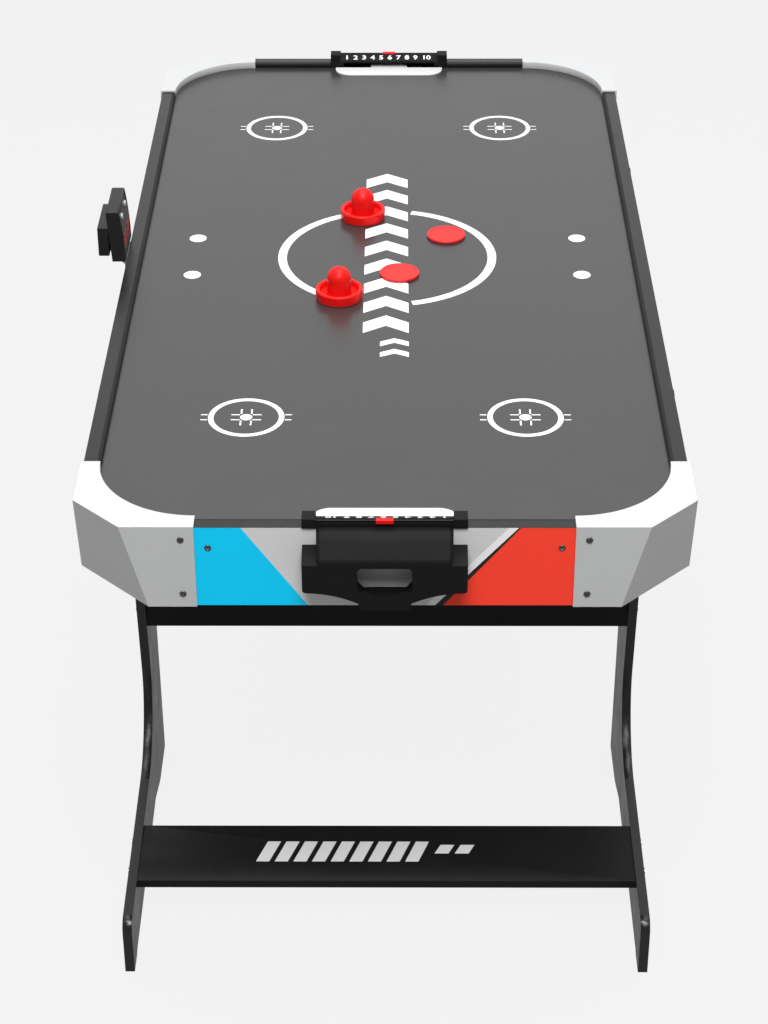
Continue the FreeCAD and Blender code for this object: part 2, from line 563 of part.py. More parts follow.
def puck_catcher(end):
    """Moulded hood and tray below the goal, open towards the end board."""
    body = new_body("PuckCatcher_" + end)
    back = "-half_length"
    inner_front = "-tray_front + tray_wall"
    floor = "play_top - tray_low + tray_wall"

    hood = new_sketch(body, "hood_outline_" + end, "YZ")
    polygon(hood, [(back, "play_top + hood_top"), ("-half_length - 15", "play_top + hood_top - 1"),
                   ("-tray_front", "play_top - tray_front_drop + 5"),
                   ("-tray_front", "play_top - tray_low"), (back, "play_top - tray_low")])
    grow(body, "Pad", "hood_pad_" + end, hood, "2 * hood_half", symmetric=True)
    round_edges(body, "hood_crown_" + end, "18",
                lambda edge: along(edge, "X") and near(edge.CenterOfMass.y, -701))
    round_edges(body, "hood_brow_" + end, "9",
                lambda edge: along(edge, "X") and near(edge.CenterOfMass.z, 675)
                and near(edge.CenterOfMass.y, -720))
    round_edges(body, "hood_sides_" + end, "4",
                lambda edge: near(abs(edge.CenterOfMass.x), 74, 0.1) and edge.CenterOfMass.z > 650
                and edge.CenterOfMass.y < -687)
    tray = new_sketch(body, "tray_outline_" + end, "YZ")
    polygon(tray, [(back, "play_top - tray_back_drop"), ("-tray_front", "play_top - tray_front_drop"),
                   ("-tray_front", "play_top - tray_low"), (back, "play_top - tray_low")])
    grow(body, "Pad", "tray_pad_" + end, tray, "2 * tray_half", symmetric=True)
    round_edges(body, "tray_corners_" + end, "5",
                lambda edge: along(edge, "Z") and near(edge.CenterOfMass.y, -720)
                and near(abs(edge.CenterOfMass.x), 91))
    skirt = new_sketch(body, "skirt_outline_" + end, "XZ", "half_length")
    rectangle(skirt, "-tray_half", "play_top - skirt_low", "tray_half", "play_top - tray_low")
    grow(body, "Pad", "skirt_pad_" + end, skirt, "tray_front - half_length")
    swoop = new_sketch(body, "swoop_outline_" + end, "XZ", "half_length")
    for sign in (-1, 1):
        circle(swoop, "%d * swoop_x" % sign, "play_top - tray_low - swoop_radius + 1", "swoop_radius")
    grow(body, "Pocket", "swoop_pocket_" + end, swoop, "3 * (tray_front - half_length)", symmetric=True)
    tab = new_sketch(body, "tab_outline_" + end, "XZ", "half_length")
    polygon(tab, [("-tab_half", "play_top - tray_low - 1"), ("-tab_half", "play_top - tab_low + tab_cut"),
                  ("-tab_half + tab_cut", "play_top - tab_low"), ("tab_half - tab_cut", "play_top - tab_low"),
                  ("tab_half", "play_top - tab_low + tab_cut"), ("tab_half", "play_top - tray_low - 1")])
    grow(body, "Pad", "tab_pad_" + end, tab, "tray_front - half_length")

    inside = new_sketch(body, "tray_inside_" + end, "YZ")
    polygon(inside, [(back, "play_top - tray_back_drop - tray_wall"),
                     (inner_front, "play_top - tray_front_drop - tray_wall"),
                     (inner_front, floor), (back, floor)])
    grow(body, "Pocket", "tray_hollow_" + end, inside, "2 * (tray_half - tray_wall)", symmetric=True)
    chute = new_sketch(body, "chute_inside_" + end, "YZ")
    polygon(chute, [(back, "play_top + hood_top - 2.5"), ("-half_length - 9", "play_top + hood_top - 3.5"),
                    ("-half_length - 15", "play_top + hood_top - 7"), ("-tray_front + 8", "play_top - 8"),
                    (inner_front, "play_top - tray_front_drop - 1"), (inner_front, floor), (back, floor)])
    grow(body, "Pocket", "chute_hollow_" + end, chute, "2 * (hood_half - tray_wall)", symmetric=True)
    well = new_sketch(body, "well_inside_" + end, "XZ", "half_length")
    polygon(well, [("-well_half", floor + " + 1"), ("-well_half", "play_top - well_step"),
                   ("-well_floor_half", "play_top - well_low"), ("well_floor_half", "play_top - well_low"),
                   ("well_half", "play_top - well_step"), ("well_half", floor + " + 1")])
    grow(body, "Pocket", "well_hollow_" + end, well, "2 * (tray_front - half_length - tray_wall)",
         symmetric=True)
    window = new_sketch(body, "window_outline_" + end, "XZ", "tray_front")
    rectangle(window, "-window_half", "play_top - window_low", "window_half", "play_top - window_high")
    grow(body, "Pocket", "window_pocket_" + end, window, "4 * tray_wall", symmetric=True)
    round_edges(body, "window_round_" + end, "5",
                lambda edge: along(edge, "Y") and near(abs(edge.CenterOfMass.x), 30)
                and edge.CenterOfMass.y < -717 and edge.CenterOfMass.z > 660)
    finger_notch(body, end)
    if end == "far":
        turned(body)
    finish(body, "puck_catcher_" + end)


def finger_notch(body, end):
    """A shallow round dip in the window's lower edge."""
    sketch = new_sketch(body, "finger_outline_" + end, "XZ", "tray_front")
    arc = sketch.addGeometry(Part.ArcOfCircle(Part.Circle(Vector(0, 654.8, 0), AXES["Z"], 27.8),
                                              math.radians(220), math.radians(320)), False)
    chord = sketch.addGeometry(Part.LineSegment(sketch.getPoint(arc, 2), sketch.getPoint(arc, 1)), False)
    sketch.addConstraint(Sketcher.Constraint("Coincident", arc, 2, chord, 1))
    sketch.addConstraint(Sketcher.Constraint("Coincident", chord, 2, arc, 1))
    sketch.addConstraint(Sketcher.Constraint("Horizontal", chord))
    pin_point(sketch, arc, 3, "0", "play_top - finger_low + finger_radius")
    number = sketch.addConstraint(Sketcher.Constraint("Radius", arc, 27.8))
    sketch.setExpression("Constraints[%d]" % number, bound("finger_radius"))
    number = sketch.addConstraint(Sketcher.Constraint("DistanceY", -1, 1, chord, 1, 637))
    sketch.setExpression("Constraints[%d]" % number, bound("play_top - window_low + 2"))
    grow(body, "Pocket", "finger_pocket_" + end, sketch, "4 * tray_wall", symmetric=True)


# --------------------------------------------------------------------------
# Leg frames: two L-shaped legs, an upper cross panel and a lower foot board at each end
# --------------------------------------------------------------------------
FRAME_SCREWS = {  # distance towards the end, height: two in each panel, at mid thickness
    "upper_a": ("panel_front - 0.5 * panel_thick", "play_top - panel_low + 25"),
    "upper_b": ("panel_front - 0.5 * panel_thick", "play_top - panel_high - 25"),
    "lower_a": ("foot_board_back + 25", "play_top - foot_board_drop - 7.5"),
    "lower_b": ("foot_board_back + 78", "play_top - foot_board_drop - 10.8"),
}
LEG_OUTLINE = [  # distance from the table's centre line towards the end, height above the floor
    (365, "play_top - 12"), (365, "play_top - 76"), (326, "play_top - 104"), (261, "102"),
    (637, "79.2"), (637, "0"), (606, "0"), (598, "4"), (312, "18.8"), (250, "0"), (171, "0"),
    (190, "play_top - 104"), (190, "play_top - 12"),
]


def leg(end, side):
    body = new_body("Leg_%s_%s" % (end, side))
    tag = "%s_%s" % (end, side)
    sketch = new_sketch(body, "leg_outline_" + tag, "YZ")
    polygon(sketch, [(str(-out), height) for out, height in LEG_OUTLINE])
    grow(body, "Pad", "leg_pad_" + tag, sketch, "leg_thick")

    def corner_at(out, height):
        return lambda edge: (along(edge, "X") and near(edge.CenterOfMass.y, -out)
                             and near(edge.CenterOfMass.z, height))
    round_edges(body, "leg_waist_" + tag, "waist_radius", corner_at(261, 102))
    round_edges(body, "leg_toe_" + tag, "toe_radius", corner_at(637, 79.2))
    round_edges(body, "leg_arch_" + tag, "arch_radius", corner_at(312, 18.8))
    round_edges(body, "leg_heel_" + tag, "arch_radius", corner_at(250, 0))
    round_edges(body, "leg_head_" + tag, "waist_radius * 0.15",
                lambda edge: along(edge, "X") and edge.CenterOfMass.z > 600)
    holes = new_sketch(body, "leg_holes_" + tag, "YZ")
    circle(holes, "-bolt_a_y", "play_top - bolt_a_drop", "bolt_hole")
    circle(holes, "-bolt_b_y", "play_top - bolt_b_drop", "bolt_hole")
    for out, height in FRAME_SCREWS.values():
        circle(holes, "-(%s)" % out, height, "frame_screw + 0.1")
    grow(body, "Pocket", "leg_drill_" + tag, holes, "4 * leg_thick", symmetric=True)
    if end == "far":
        turned(body)
        edge_x = "leg_inner + leg_thick" if side == "right" else "-leg_inner"
    else:
        edge_x = "leg_inner" if side == "right" else "-leg_inner - leg_thick"
    bind(body, "Placement.Base.x", edge_x)
    finish(body, "leg_%s_%s" % (end, side))


def leg_frame_panels(end):
    way = ENDS[end]
    low_y = "-panel_front" if way < 0 else "panel_front - panel_thick"
    panel = box("cross_blank_" + end, ("-leg_inner", low_y, "play_top - panel_low"),
                ("2 * leg_inner", "panel_thick", "panel_low - panel_high"))
    board = box("foot_blank_" + end, ("-leg_inner", "0", "0"),
                ("2 * leg_inner", "foot_board_wide", "panel_thick"),
                tilt_x="%d * foot_tilt" % -way)
    # The board's back top edge is fixed, and its low corner is worked out from it.
    if way < 0:
        place(board, "-leg_inner",
              "-foot_board_back - foot_board_wide * cos(foot_tilt) + panel_thick * sin(foot_tilt)",
              "play_top - foot_board_drop - foot_board_wide * sin(foot_tilt)"
              " - panel_thick * cos(foot_tilt)")
    else:
        place(board, "-leg_inner", "foot_board_back - panel_thick * sin(foot_tilt)",
              "play_top - foot_board_drop - panel_thick * cos(foot_tilt)")
    drills = {"upper": [], "lower": []}
    for tag, (out, height) in FRAME_SCREWS.items():
        for side, start in (("left", "-leg_inner - 1"), ("right", "leg_inner - frame_screw_long")):
            drills[tag[:5]].append(rod("drill_%s_%s_%s" % (tag, end, side),
                                       (start, "%d * (%s)" % (way, out), height),
                                       "frame_screw + 0.1", "frame_screw_long + 1", "X"))
    finish(cut("CrossPanel_" + end, panel, drills["upper"]), "cross_panel_" + end)
    finish(cut("FootBoard_" + end, board, drills["lower"]), "foot_board_" + end)


def leg_fasteners():
    bolts = []
    covers = []
    screws = []
    for end, way in ENDS.items():
        for side, sign in SIDES.items():
            for tag, y, drop in (("a", "bolt_a_y", "bolt_a_drop"), ("b", "bolt_b_y", "bolt_b_drop")):
                name = "%s_%s_%s" % (end, side, tag)
                at_y = "%d * %s" % (way, y)
                z = "play_top - " + drop
                start = "leg_inner - 8" if sign > 0 else "-half_width"
                nut_x = "leg_inner - 6.5" if sign > 0 else "-leg_inner"
                shank = rod("bolt_" + name, (start, at_y, z), "bolt_radius",
                            "half_width - leg_inner + 8", "X")
                nut = rod("nut_" + name, (nut_x, at_y, z), "bolt_radius + 3", "6.5", "X")
                bolts.append(fuse("leg_bolt_" + name, [shank, nut]))
                cover = doc.addObject("Part::Cone", "cover_" + name)
                bind(cover, "Radius1", "cover_radius")
                bind(cover, "Radius2", "cover_radius - 3")
                bind(cover, "Height", "cover_tall")
                cover.Placement = FreeCAD.Placement(
                    Vector(), FreeCAD.Rotation(AXES["Z"], AXES["X"] * sign))
                covers.append(place(cover, "%d * half_width" % sign, at_y, z))
            for tag, (out, z) in FRAME_SCREWS.items():
                name = "frame_screw_%s_%s_%s" % (end, side, tag)
                at_y = "%d * (%s)" % (way, out)
                outer = "leg_inner + leg_thick"
                if sign > 0:
                    head_x, shank_x = outer, "leg_inner - frame_screw_long + 1"
                else:
                    head_x, shank_x = "-(%s) - 1.5" % outer, "-(%s)" % outer
                head = rod(name + "_head", (head_x, at_y, z), "frame_screw + 2", "1.5", "X")
                shank = rod(name + "_shank", (shank_x, at_y, z), "frame_screw",
                            "frame_screw_long + leg_thick - 1", "X")
                screws.append(fuse(name, [head, shank]))
    finish(group("LegBolts", bolts), "leg_bolts")
    finish(group("BoltCovers", covers), "leg_bolt_covers")
    finish(group("FrameScrews", screws), "leg_frame_screws")


# --------------------------------------------------------------------------
# Blower under the base panel
# --------------------------------------------------------------------------
def blower():
    top = "play_top - chamber_depth - base_thick"
    low = top + " - volute_tall"
    outer = rod("volute_outer", ("0", "0", low), "volute_radius", "volute_tall")
    flange = rod("volute_flange", ("0", "0", top + " - shell"), "volute_radius + 9", "shell")
    inner = rod("volute_inner", ("0", "0", low + " + shell"), "volute_radius - shell", "volute_tall")
    inlet = rod("volute_inlet", ("0", "0", low + " - 1"), "grille_hole", "volute_tall + 3")
    finish(cut("BlowerHousing", fuse("volute_solid", [outer, flange]), [inner, inlet]), "blower_housing")

    under = low + " - shell"
    disc = rod("grille_disc", ("0", "0", under), "grille_hole + 5", "shell")
    inside = rod("grille_inside", ("0", "0", under + " - 1"), "grille_hole - 1", "shell + 2")
    bars = [rod("grille_seat", ("0", "0", under), "motor_radius + 2", "shell")]
    for k in range(4):
        bar = box("grille_bar_%d" % k, ("0", "0", "0"), ("2 * grille_hole", "3", "shell"))
        bar.Placement = FreeCAD.Placement(Vector(), FreeCAD.Rotation(AXES["Z"], 45 * k))
        along_x, along_y = math.cos(math.pi * k / 4), math.sin(math.pi * k / 4)
        bars.append(place(bar, "-grille_hole * %.4f + 1.5 * %.4f" % (along_x, along_y),
                          "-grille_hole * %.4f - 1.5 * %.4f" % (along_y, along_x), under))
    ring = cut("GrilleRing", disc, [inside])
    finish(fuse("BlowerGrille", [ring] + bars), "blower_grille")

    can = rod("motor_can", ("0", "0", low), "motor_radius", "motor_tall - 6")
    shaft = rod("motor_shaft", ("0", "0", low), "1.5", "motor_tall + 4")
    finish(fuse("BlowerMotor", [can, shaft]), "blower_motor")

    fan_low = "play_top - chamber_depth - base_thick - impeller_tall - 3"
    fan = new_body("BlowerImpeller")
    disc = new_sketch(fan, "impeller_disc", "XY", fan_low + " + impeller_tall - shell")
    circle(disc, "0", "0", "impeller_radius")
    grow(fan, "Pad", "impeller_disc_pad", disc, "shell")
    hub = new_sketch(fan, "impeller_hub", "XY", fan_low + " + 3")
    circle(hub, "0", "0", "hub_radius")
    grow(fan, "Pad", "impeller_hub_pad", hub, "impeller_tall - 3")
    blade = new_sketch(fan, "impeller_blade", "XY", fan_low)
    rectangle(blade, "impeller_radius - blade_long", "-blade_thick / 2", "impeller_radius - 0.5",
              "blade_thick / 2")
    pad = grow(fan, "Pad", "impeller_blade_pad", blade, "impeller_tall - 1")
    pattern = fan.newObject("PartDesign::PolarPattern", "impeller_blades")
    pattern.Originals = [pad]
    pattern.Axis = ([f for f in fan.Origin.OriginFeatures if f.Role == "Z_Axis"][0], [""])
    pattern.Angle = 360
    pattern.Occurrences = 14
    fan.Tip = pattern
    recess = new_sketch(fan, "impeller_recess", "XY", fan_low + " - 1")
    circle(recess, "0", "0", "motor_radius + 1.5")
    grow(fan, "Pocket", "impeller_recess_pocket", recess, "impeller_tall - 6", reverse=True)
    bore = new_sketch(fan, "impeller_bore", "XY", fan_low)
    circle(bore, "0", "0", "1.5 + running_gap")
    grow(fan, "Pocket", "impeller_bore_pocket", bore, "3 * impeller_tall", symmetric=True)
    finish(fan, "blower_impeller")


# --------------------------------------------------------------------------
# Side scoreboard, its bracket, and the power panel
# --------------------------------------------------------------------------
def score_front(height, deep="0"):
    """x of the scoreboard's bowed front at a height above its base, and this deep behind it."""
    lean = "(score_in_top - score_in_low) * (%s) / (score_top - score_base)" % height
    bow = "score_bow * (1 - abs(2 * (%s) / (score_top - score_base) - 1))" % height
    return "-score_in_low - %s + %s - (%s)" % (lean, bow, deep)


def scoreboard_section(sketch, front_deep, back_deep, low, high):
    """Closed section between two depths behind the bowed front, from low to high above the base."""
    middle = "(score_top - score_base) / 2"
    heights = (low, middle, high)
    corners = [(score_front(h, front_deep), "score_base + %s" % h) for h in heights]
    corners += [(score_front(h, back_deep), "score_base + %s" % h) for h in reversed(heights)]
    polygon(sketch, corners)


def scoreboard():
    tall = "(score_top - score_base)"
    body = new_body("ScoreboardHousing")
    section = new_sketch(body, "score_section", "XZ", "-score_y")
    middle = tall + " / 2"
    polygon(section, [(score_front("0"), "score_base"), (score_front(middle), "score_base + " + middle),
                      (score_front(tall), "score_top"), (score_front(tall, "score_deep"), "score_top"),
                      (score_front("0", "score_deep"), "score_base")])
    grow(body, "Pad", "score_pad", section, "2 * score_half", symmetric=True)
    round_edges(body, "score_bow_round", "score_bow_radius",
                lambda edge: along(edge, "Y") and near(edge.CenterOfMass.z, 734.75)
                and edge.CenterOfMass.x > -350)
    round_edges(body, "score_round", "2.5",
                lambda edge: along(edge, "Y") and edge.CenterOfMass.z > 769.5)
    hollow = new_sketch(body, "score_hollow", "XZ", "-score_y")
    scoreboard_section(hollow, "3.4", "score_deep - 2", "2.5", tall + " - 2.5")
    grow(body, "Pocket", "score_hollow_pocket", hollow, "2 * score_half - 5", symmetric=True)
    opening = new_sketch(body, "score_opening", "YZ", "-score_in_low - 2")
    rectangle(opening, "score_y - score_half + face_inset", "score_base + face_inset",
              "score_y + score_half - face_inset", "score_top - face_inset")
    grow(body, "Pocket", "score_opening_pocket", opening, "16", symmetric=True)
    finish(body, "scoreboard_housing")

    # The face fills the opening just below the housing's rim, with a hole for each button.
    face = new_body("ScoreboardFace")
    plate = new_sketch(face, "face_section", "XZ", "-score_y")
    scoreboard_section(plate, "0.6", "0.6 + face_thick", "(face_inset + 0.2)", tall + " - face_inset - 0.2")
    grow(face, "Pad", "face_pad", plate, "2 * (score_half - face_inset - 0.2)", symmetric=True)
    holes = new_sketch(face, "face_holes", "YZ", "-score_in_low - 2")
    for sign in (-1, 1):
        circle(holes, "score_y + %d * button_apart" % sign, "score_top - button_drop",
               "button_radius + 0.15")
    grow(face, "Pocket", "face_drill", holes, "20", symmetric=True)
    finish(face, "scoreboard_face")

    finish(box("ScoreboardCircuit", ("-score_in_top - 8", "score_y - score_half + 5", "score_base + 5"),
               ("1.6", "2 * score_half - 10", tall + " - 10")), "scoreboard_circuit")

    button_x = score_front(tall + " - button_drop", "4")
    for tag, sign in (("near", -1), ("far", 1)):
        button = new_body("ScoreButton_" + tag)
        stem = new_sketch(button, "button_stem_" + tag, "YZ", button_x)
        circle(stem, "score_y + %d * button_apart" % sign, "score_top - button_drop", "button_radius")
        grow(button, "Pad", "button_pad_" + tag, stem, "5.4")
        round_edges(button, "button_round_" + tag, "1",
                    lambda edge: edge.CenterOfMass.x > -348.5)
        finish(button, "score_button_" + tag)

    pack = new_body("BatteryBox")
    shell = new_sketch(pack, "battery_outline", "YZ", "-366.6")
    rectangle(shell, "score_y - 2 - battery_half", "battery_low", "score_y - 2 + battery_half",
              "battery_top")
    grow(pack, "Pad", "battery_pad", shell, "battery_deep", reverse=True)
    hollow = new_sketch(pack, "battery_hollow", "YZ", "-366.6")
    rectangle(hollow, "score_y - battery_half", "battery_low + 2", "score_y - 4 + battery_half",
              "battery_top - 2")
    grow(pack, "Pocket", "battery_hollow_pocket", hollow, "battery_deep - 2")
    round_edges(pack, "battery_round", "1.5",
                lambda edge: edge.CenterOfMass.x < -380.5)
    finish(pack, "battery_box")

    bracket = new_body("ScoreboardBracket")
    side = new_sketch(bracket, "bracket_section", "XZ", "-score_y")
    polygon(side, [("-half_width", "play_top - bracket_drop"),
                   ("-half_width", "score_base - 0.2"), ("-half_width - 14", "score_base - 0.2"),
                   ("-half_width - 14", "score_base - 4"), ("-half_width - bracket_thick", "score_base - 12"),
                   ("-half_width - bracket_thick", "play_top - bracket_drop")])
    grow(bracket, "Pad", "bracket_pad", side, "2 * bracket_half", symmetric=True)
    drill = new_sketch(bracket, "bracket_drill", "YZ", "-half_width")
    for sign in (-1, 1):
        circle(drill, "score_y + %d * 12" % sign, "play_top - 30", "screw_shank + 0.1")
    grow(bracket, "Pocket", "bracket_drill_pocket", drill, "20", symmetric=True)
    finish(bracket, "scoreboard_bracket")
    screws = [pan_screw("bracket_screw_%d" % (k + 1), "-half_width - bracket_thick",
                        "score_y + %d * 12" % k, "play_top - 30", "X", -1) for k in (-1, 1)]
    finish(group("BracketScrews", screws), "bracket_screws")


def power_panel():
    z = "play_top - power_drop"
    body = new_body("PowerPanel")
    plate = new_sketch(body, "power_outline", "YZ", "half_width")
    rectangle(plate, "power_y - power_half_y", z + " - power_half_z", "power_y + power_half_y",
              z + " + power_half_z")
    grow(body, "Pad", "power_plate", plate, "power_thick")
    back = new_sketch(body, "power_back", "YZ", "half_width")
    rectangle(back, "power_y - power_box_half_y", z + " - power_box_half_z",
              "power_y + power_box_half_y", z + " + power_box_half_z")
    grow(body, "Pad", "power_box", back, "14", reverse=True)
    barrel = new_sketch(body, "jack_barrel", "YZ", "half_width")
    circle(barrel, "power_y - 16", z, "jack_radius")
    grow(body, "Pad", "jack_pad", barrel, "power_thick + 1.5")
    bore = new_sketch(body, "jack_bore", "YZ", "half_width + power_thick + 2")
    circle(bore, "power_y - 16", z, "jack_bore")
    grow(body, "Pocket", "jack_bore_pocket", bore, "13")
    well = new_sketch(body, "rocker_well", "YZ", "half_width + power_thick + 1")
    rectangle(well, "power_y + 14 - rocker_half_y - 0.5", z + " - rocker_half_z - 0.5",
              "power_y + 14 + rocker_half_y + 0.5", z + " + rocker_half_z + 0.5")
    grow(body, "Pocket", "rocker_well_pocket", well, "12")
    finish(body, "power_panel")

    # The rocker rests with its lower half pressed in, tipped about a pivot along Z.
    rocker = new_body("PowerRocker")
    outline = new_sketch(rocker, "rocker_outline", "XY")
    polygon(outline, [("-3", "-rocker_half_y + 0.6"), ("-3", "rocker_half_y - 0.6"),
                      ("3.2", "rocker_half_y - 0.6"), ("1.6", "0"), ("3.2", "-rocker_half_y + 0.6")])
    grow(rocker, "Pad", "rocker_pad", outline, "2 * rocker_half_z - 0.4", symmetric=True)
    rocker.Placement = FreeCAD.Placement(Vector(), FreeCAD.Rotation(AXES["Z"], 10))
    place(rocker, "half_width", "power_y + 14", z)
    finish(rocker, "power_rocker")


# --------------------------------------------------------------------------
# Strikers and pucks on the playfield
# --------------------------------------------------------------------------
STRIKERS = {"near": (-61.5, -119), "far": (-34, 121.5)}
PUCKS = {"near": (16.5, -53.5), "far": (79.6, 61.8)}


def revolve(body, name, sketch):
    item = body.newObject("PartDesign::Revolution", name)
    item.Profile = sketch
    item.ReferenceAxis = ([f for f in body.Origin.OriginFeatures if f.Role == "Z_Axis"][0], [""])
    item.Angle = 360
    doc.recompute()
    return item


def striker(tag):
    x, y = STRIKERS[tag]
    body = new_body("Striker_" + tag)
    half = new_sketch(body, "striker_section_" + tag, "XZ")
    low = "play_top + felt_thick"
    polygon(half, [("0", low + " + 1.5"), ("striker_radius - 12", low + " + 1.5"),
                   ("striker_radius - 12", low), ("striker_radius - 0.8", low),
                   ("striker_radius", "play_top + striker_rim"),
                   ("striker_radius - striker_wall", "play_top + striker_rim"),
                   ("striker_radius - striker_wall - 1.2", low + " + 4"),
                   ("knob_radius", low + " + 4"), ("knob_radius", "play_top + striker_tall"),
                   ("0", "play_top + striker_tall")])
    revolve(body, "striker_turn_" + tag, half)
    round_edges(body, "striker_dome_" + tag, "knob_radius - 0.2",
                lambda edge: near(edge.CenterOfMass.z, 733, 0.2) and edge.Length > 50)
    round_edges(body, "striker_dish_" + tag, "2.5",
                lambda edge: near(edge.CenterOfMass.z, 695, 0.2) and edge.Length > 90)
    round_edges(body, "striker_rim_" + tag, "striker_wall * 0.44",
                lambda edge: near(edge.CenterOfMass.z, 704, 0.2) and edge.Length > 120)
    place(body, str(x), str(y), "0")
    finish(body, "striker_" + tag)

    pad = rod("felt_disc_" + tag, (str(x), str(y), "play_top"), "striker_radius - 1.5", "felt_thick")
    hole = rod("felt_hole_" + tag, (str(x), str(y), "play_top - 1"), "striker_radius - 9", "felt_thick + 2")
    finish(cut("StrikerFelt_" + tag, pad, [hole]), "striker_felt_" + tag)


def puck(tag):
    x, y = PUCKS[tag]
    body = new_body("Puck_" + tag)
    half = new_sketch(body, "puck_section_" + tag, "XZ")
    polygon(half, [("0", "play_top"), ("puck_radius - 0.8", "play_top"),
                   ("puck_radius", "play_top + 0.8"), ("puck_radius", "play_top + puck_thick - 0.8"),
                   ("puck_radius - 0.8", "play_top + puck_thick"),
                   ("puck_radius - 3", "play_top + puck_thick"),
                   ("puck_radius - 3.8", "play_top + puck_thick - 0.6"),
                   ("0", "play_top + puck_thick - 0.6")])
    revolve(body, "puck_turn_" + tag, half)
    place(body, str(x), str(y), "0")
    finish(body, "puck_" + tag)


# --------------------------------------------------------------------------
# Build, check and write
# --------------------------------------------------------------------------
for side_name in SIDES:
    side_board(side_name)
for end_name in ENDS:
    end_board(end_name)
playfield()
air_chamber()
rail_strips()
corner_caps()
panel_screws()
for end_name in ENDS:
    goal_plate(end_name)
    slide_scorer(end_name)
    puck_catcher(end_name)
    leg_frame_panels(end_name)
    for side_name in SIDES:
        leg(end_name, side_name)
    striker(end_name)
    puck(end_name)
leg_fasteners()
blower()
scoreboard()
power_panel()

doc.recompute()
for item in doc.Objects:
    if "Invalid" in item.State or "Error" in item.State:
        raise SystemExit("%s failed: %s" % (item.Name, item.State))
for item in PARTS:
    shape = item.Shape
    if shape.isNull() or not shape.isValid() or not shape.Solids:
        raise SystemExit("%s has no valid shape" % item.Label)
for item in PARTS:
    item.Shape.exportStep("parts/%s.step" % item.Label)
print("%d sub-parts written" % len(PARTS))
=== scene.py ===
"""Looks of the air hockey table, built round its CAD frame. Metres, +Z up, near end at -Y."""
import json
import math

import bmesh
import bpy
from mathutils import Matrix, Vector


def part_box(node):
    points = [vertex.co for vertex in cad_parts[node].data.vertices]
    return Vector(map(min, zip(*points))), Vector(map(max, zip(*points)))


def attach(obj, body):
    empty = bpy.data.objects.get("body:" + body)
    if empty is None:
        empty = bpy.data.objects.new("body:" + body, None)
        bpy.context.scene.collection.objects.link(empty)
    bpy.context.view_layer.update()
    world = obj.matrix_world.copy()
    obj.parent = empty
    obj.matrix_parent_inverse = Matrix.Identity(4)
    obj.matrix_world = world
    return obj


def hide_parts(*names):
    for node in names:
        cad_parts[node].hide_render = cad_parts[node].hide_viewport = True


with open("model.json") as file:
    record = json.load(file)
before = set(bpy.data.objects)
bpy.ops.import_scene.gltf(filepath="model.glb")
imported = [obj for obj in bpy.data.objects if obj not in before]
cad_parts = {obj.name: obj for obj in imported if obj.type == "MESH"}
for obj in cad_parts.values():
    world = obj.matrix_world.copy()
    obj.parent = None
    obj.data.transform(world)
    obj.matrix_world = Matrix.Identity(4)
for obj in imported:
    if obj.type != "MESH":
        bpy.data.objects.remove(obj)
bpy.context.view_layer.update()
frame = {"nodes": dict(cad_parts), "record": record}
MM = 0.001
FULL_TURN = 2 * math.pi
TABLE = "table"

PLAY_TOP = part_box("playfield_board")[1].z
END_BOARD_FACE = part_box("end_board_near")[0].y
PRINT_THICK = 0.12 * MM


# ---------------------------------------------------------------------------
# Node and mesh helpers
# ---------------------------------------------------------------------------
class Nodes:
    """A short way to add and join shader nodes of one material."""

    def __init__(self, name):
        self.material = bpy.data.materials.new(name)
        self.material.use_nodes = True
        self.tree = self.material.node_tree
        self.shader = self.tree.nodes["Principled BSDF"]

    def add(self, kind, **settings):
        node = self.tree.nodes.new("ShaderNode" + kind)
        for key, value in settings.items():
            if hasattr(node, key):
                setattr(node, key, value)
            else:
                node.inputs[key.replace("_", " ")].default_value = value
        return node

    def link(self, source, target):
        self.tree.links.new(source, target)

    def put(self, **values):
        for key, value in values.items():
            self.shader.inputs[key.replace("_", " ")].default_value = value

    def coordinates(self):
        return self.add("TexCoord").outputs["Object"]

    def noise(self, scale, detail=3.0, roughness=0.5, stretch=None):
        where = self.coordinates()
        if stretch is not None:
            mapping = self.add("Mapping")
            mapping.inputs["Scale"].default_value = stretch
            self.link(where, mapping.inputs["Vector"])
            where = mapping.outputs["Vector"]
        node = self.add("TexNoise", Scale=scale, Detail=detail, Roughness=roughness)
        self.link(where, node.inputs["Vector"])
        return node.outputs["Fac"]

    def maths(self, operation, first, second=None):
        node = self.add("Math", operation=operation)
        for socket, value in zip(node.inputs, (first, second)):
            if isinstance(value, (int, float)):
                socket.default_value = value
            elif value is not None:
                self.link(value, socket)
        return node.outputs[0]

    def between(self, factor, low, high):
        """Maps the middle of a noise, 0.3 to 0.7, onto low to high."""
        node = self.add("MapRange")
        self.link(factor, node.inputs["Value"])
        node.inputs["From Min"].default_value = 0.3
        node.inputs["From Max"].default_value = 0.7
        node.inputs["To Min"].default_value = low
        node.inputs["To Max"].default_value = high
        return node.outputs["Result"]

    def rough(self, factor, low, high):
        """Lets a noise carry the roughness from low to high."""
        self.link(self.between(factor, low, high), self.shader.inputs["Roughness"])

    def mix(self, factor, first, second):
        node = self.add("Mix", data_type="RGBA")
        self.link(factor, node.inputs["Factor"])
        for socket, value in ((node.inputs["A"], first), (node.inputs["B"], second)):
            if hasattr(value, "is_linked"):
                self.link(value, socket)
            else:
                socket.default_value = (*value, 1)
        return node.outputs["Result"]

    def colour(self, value):
        if hasattr(value, "is_linked"):
            self.link(value, self.shader.inputs["Base Color"])
        else:
            self.put(Base_Color=(*value, 1))

    def bump(self, height, strength, distance):
        node = self.add("Bump", Strength=strength, Distance=distance)
        self.link(height, node.inputs["Height"])
        self.link(node.outputs["Normal"], self.shader.inputs["Normal"])


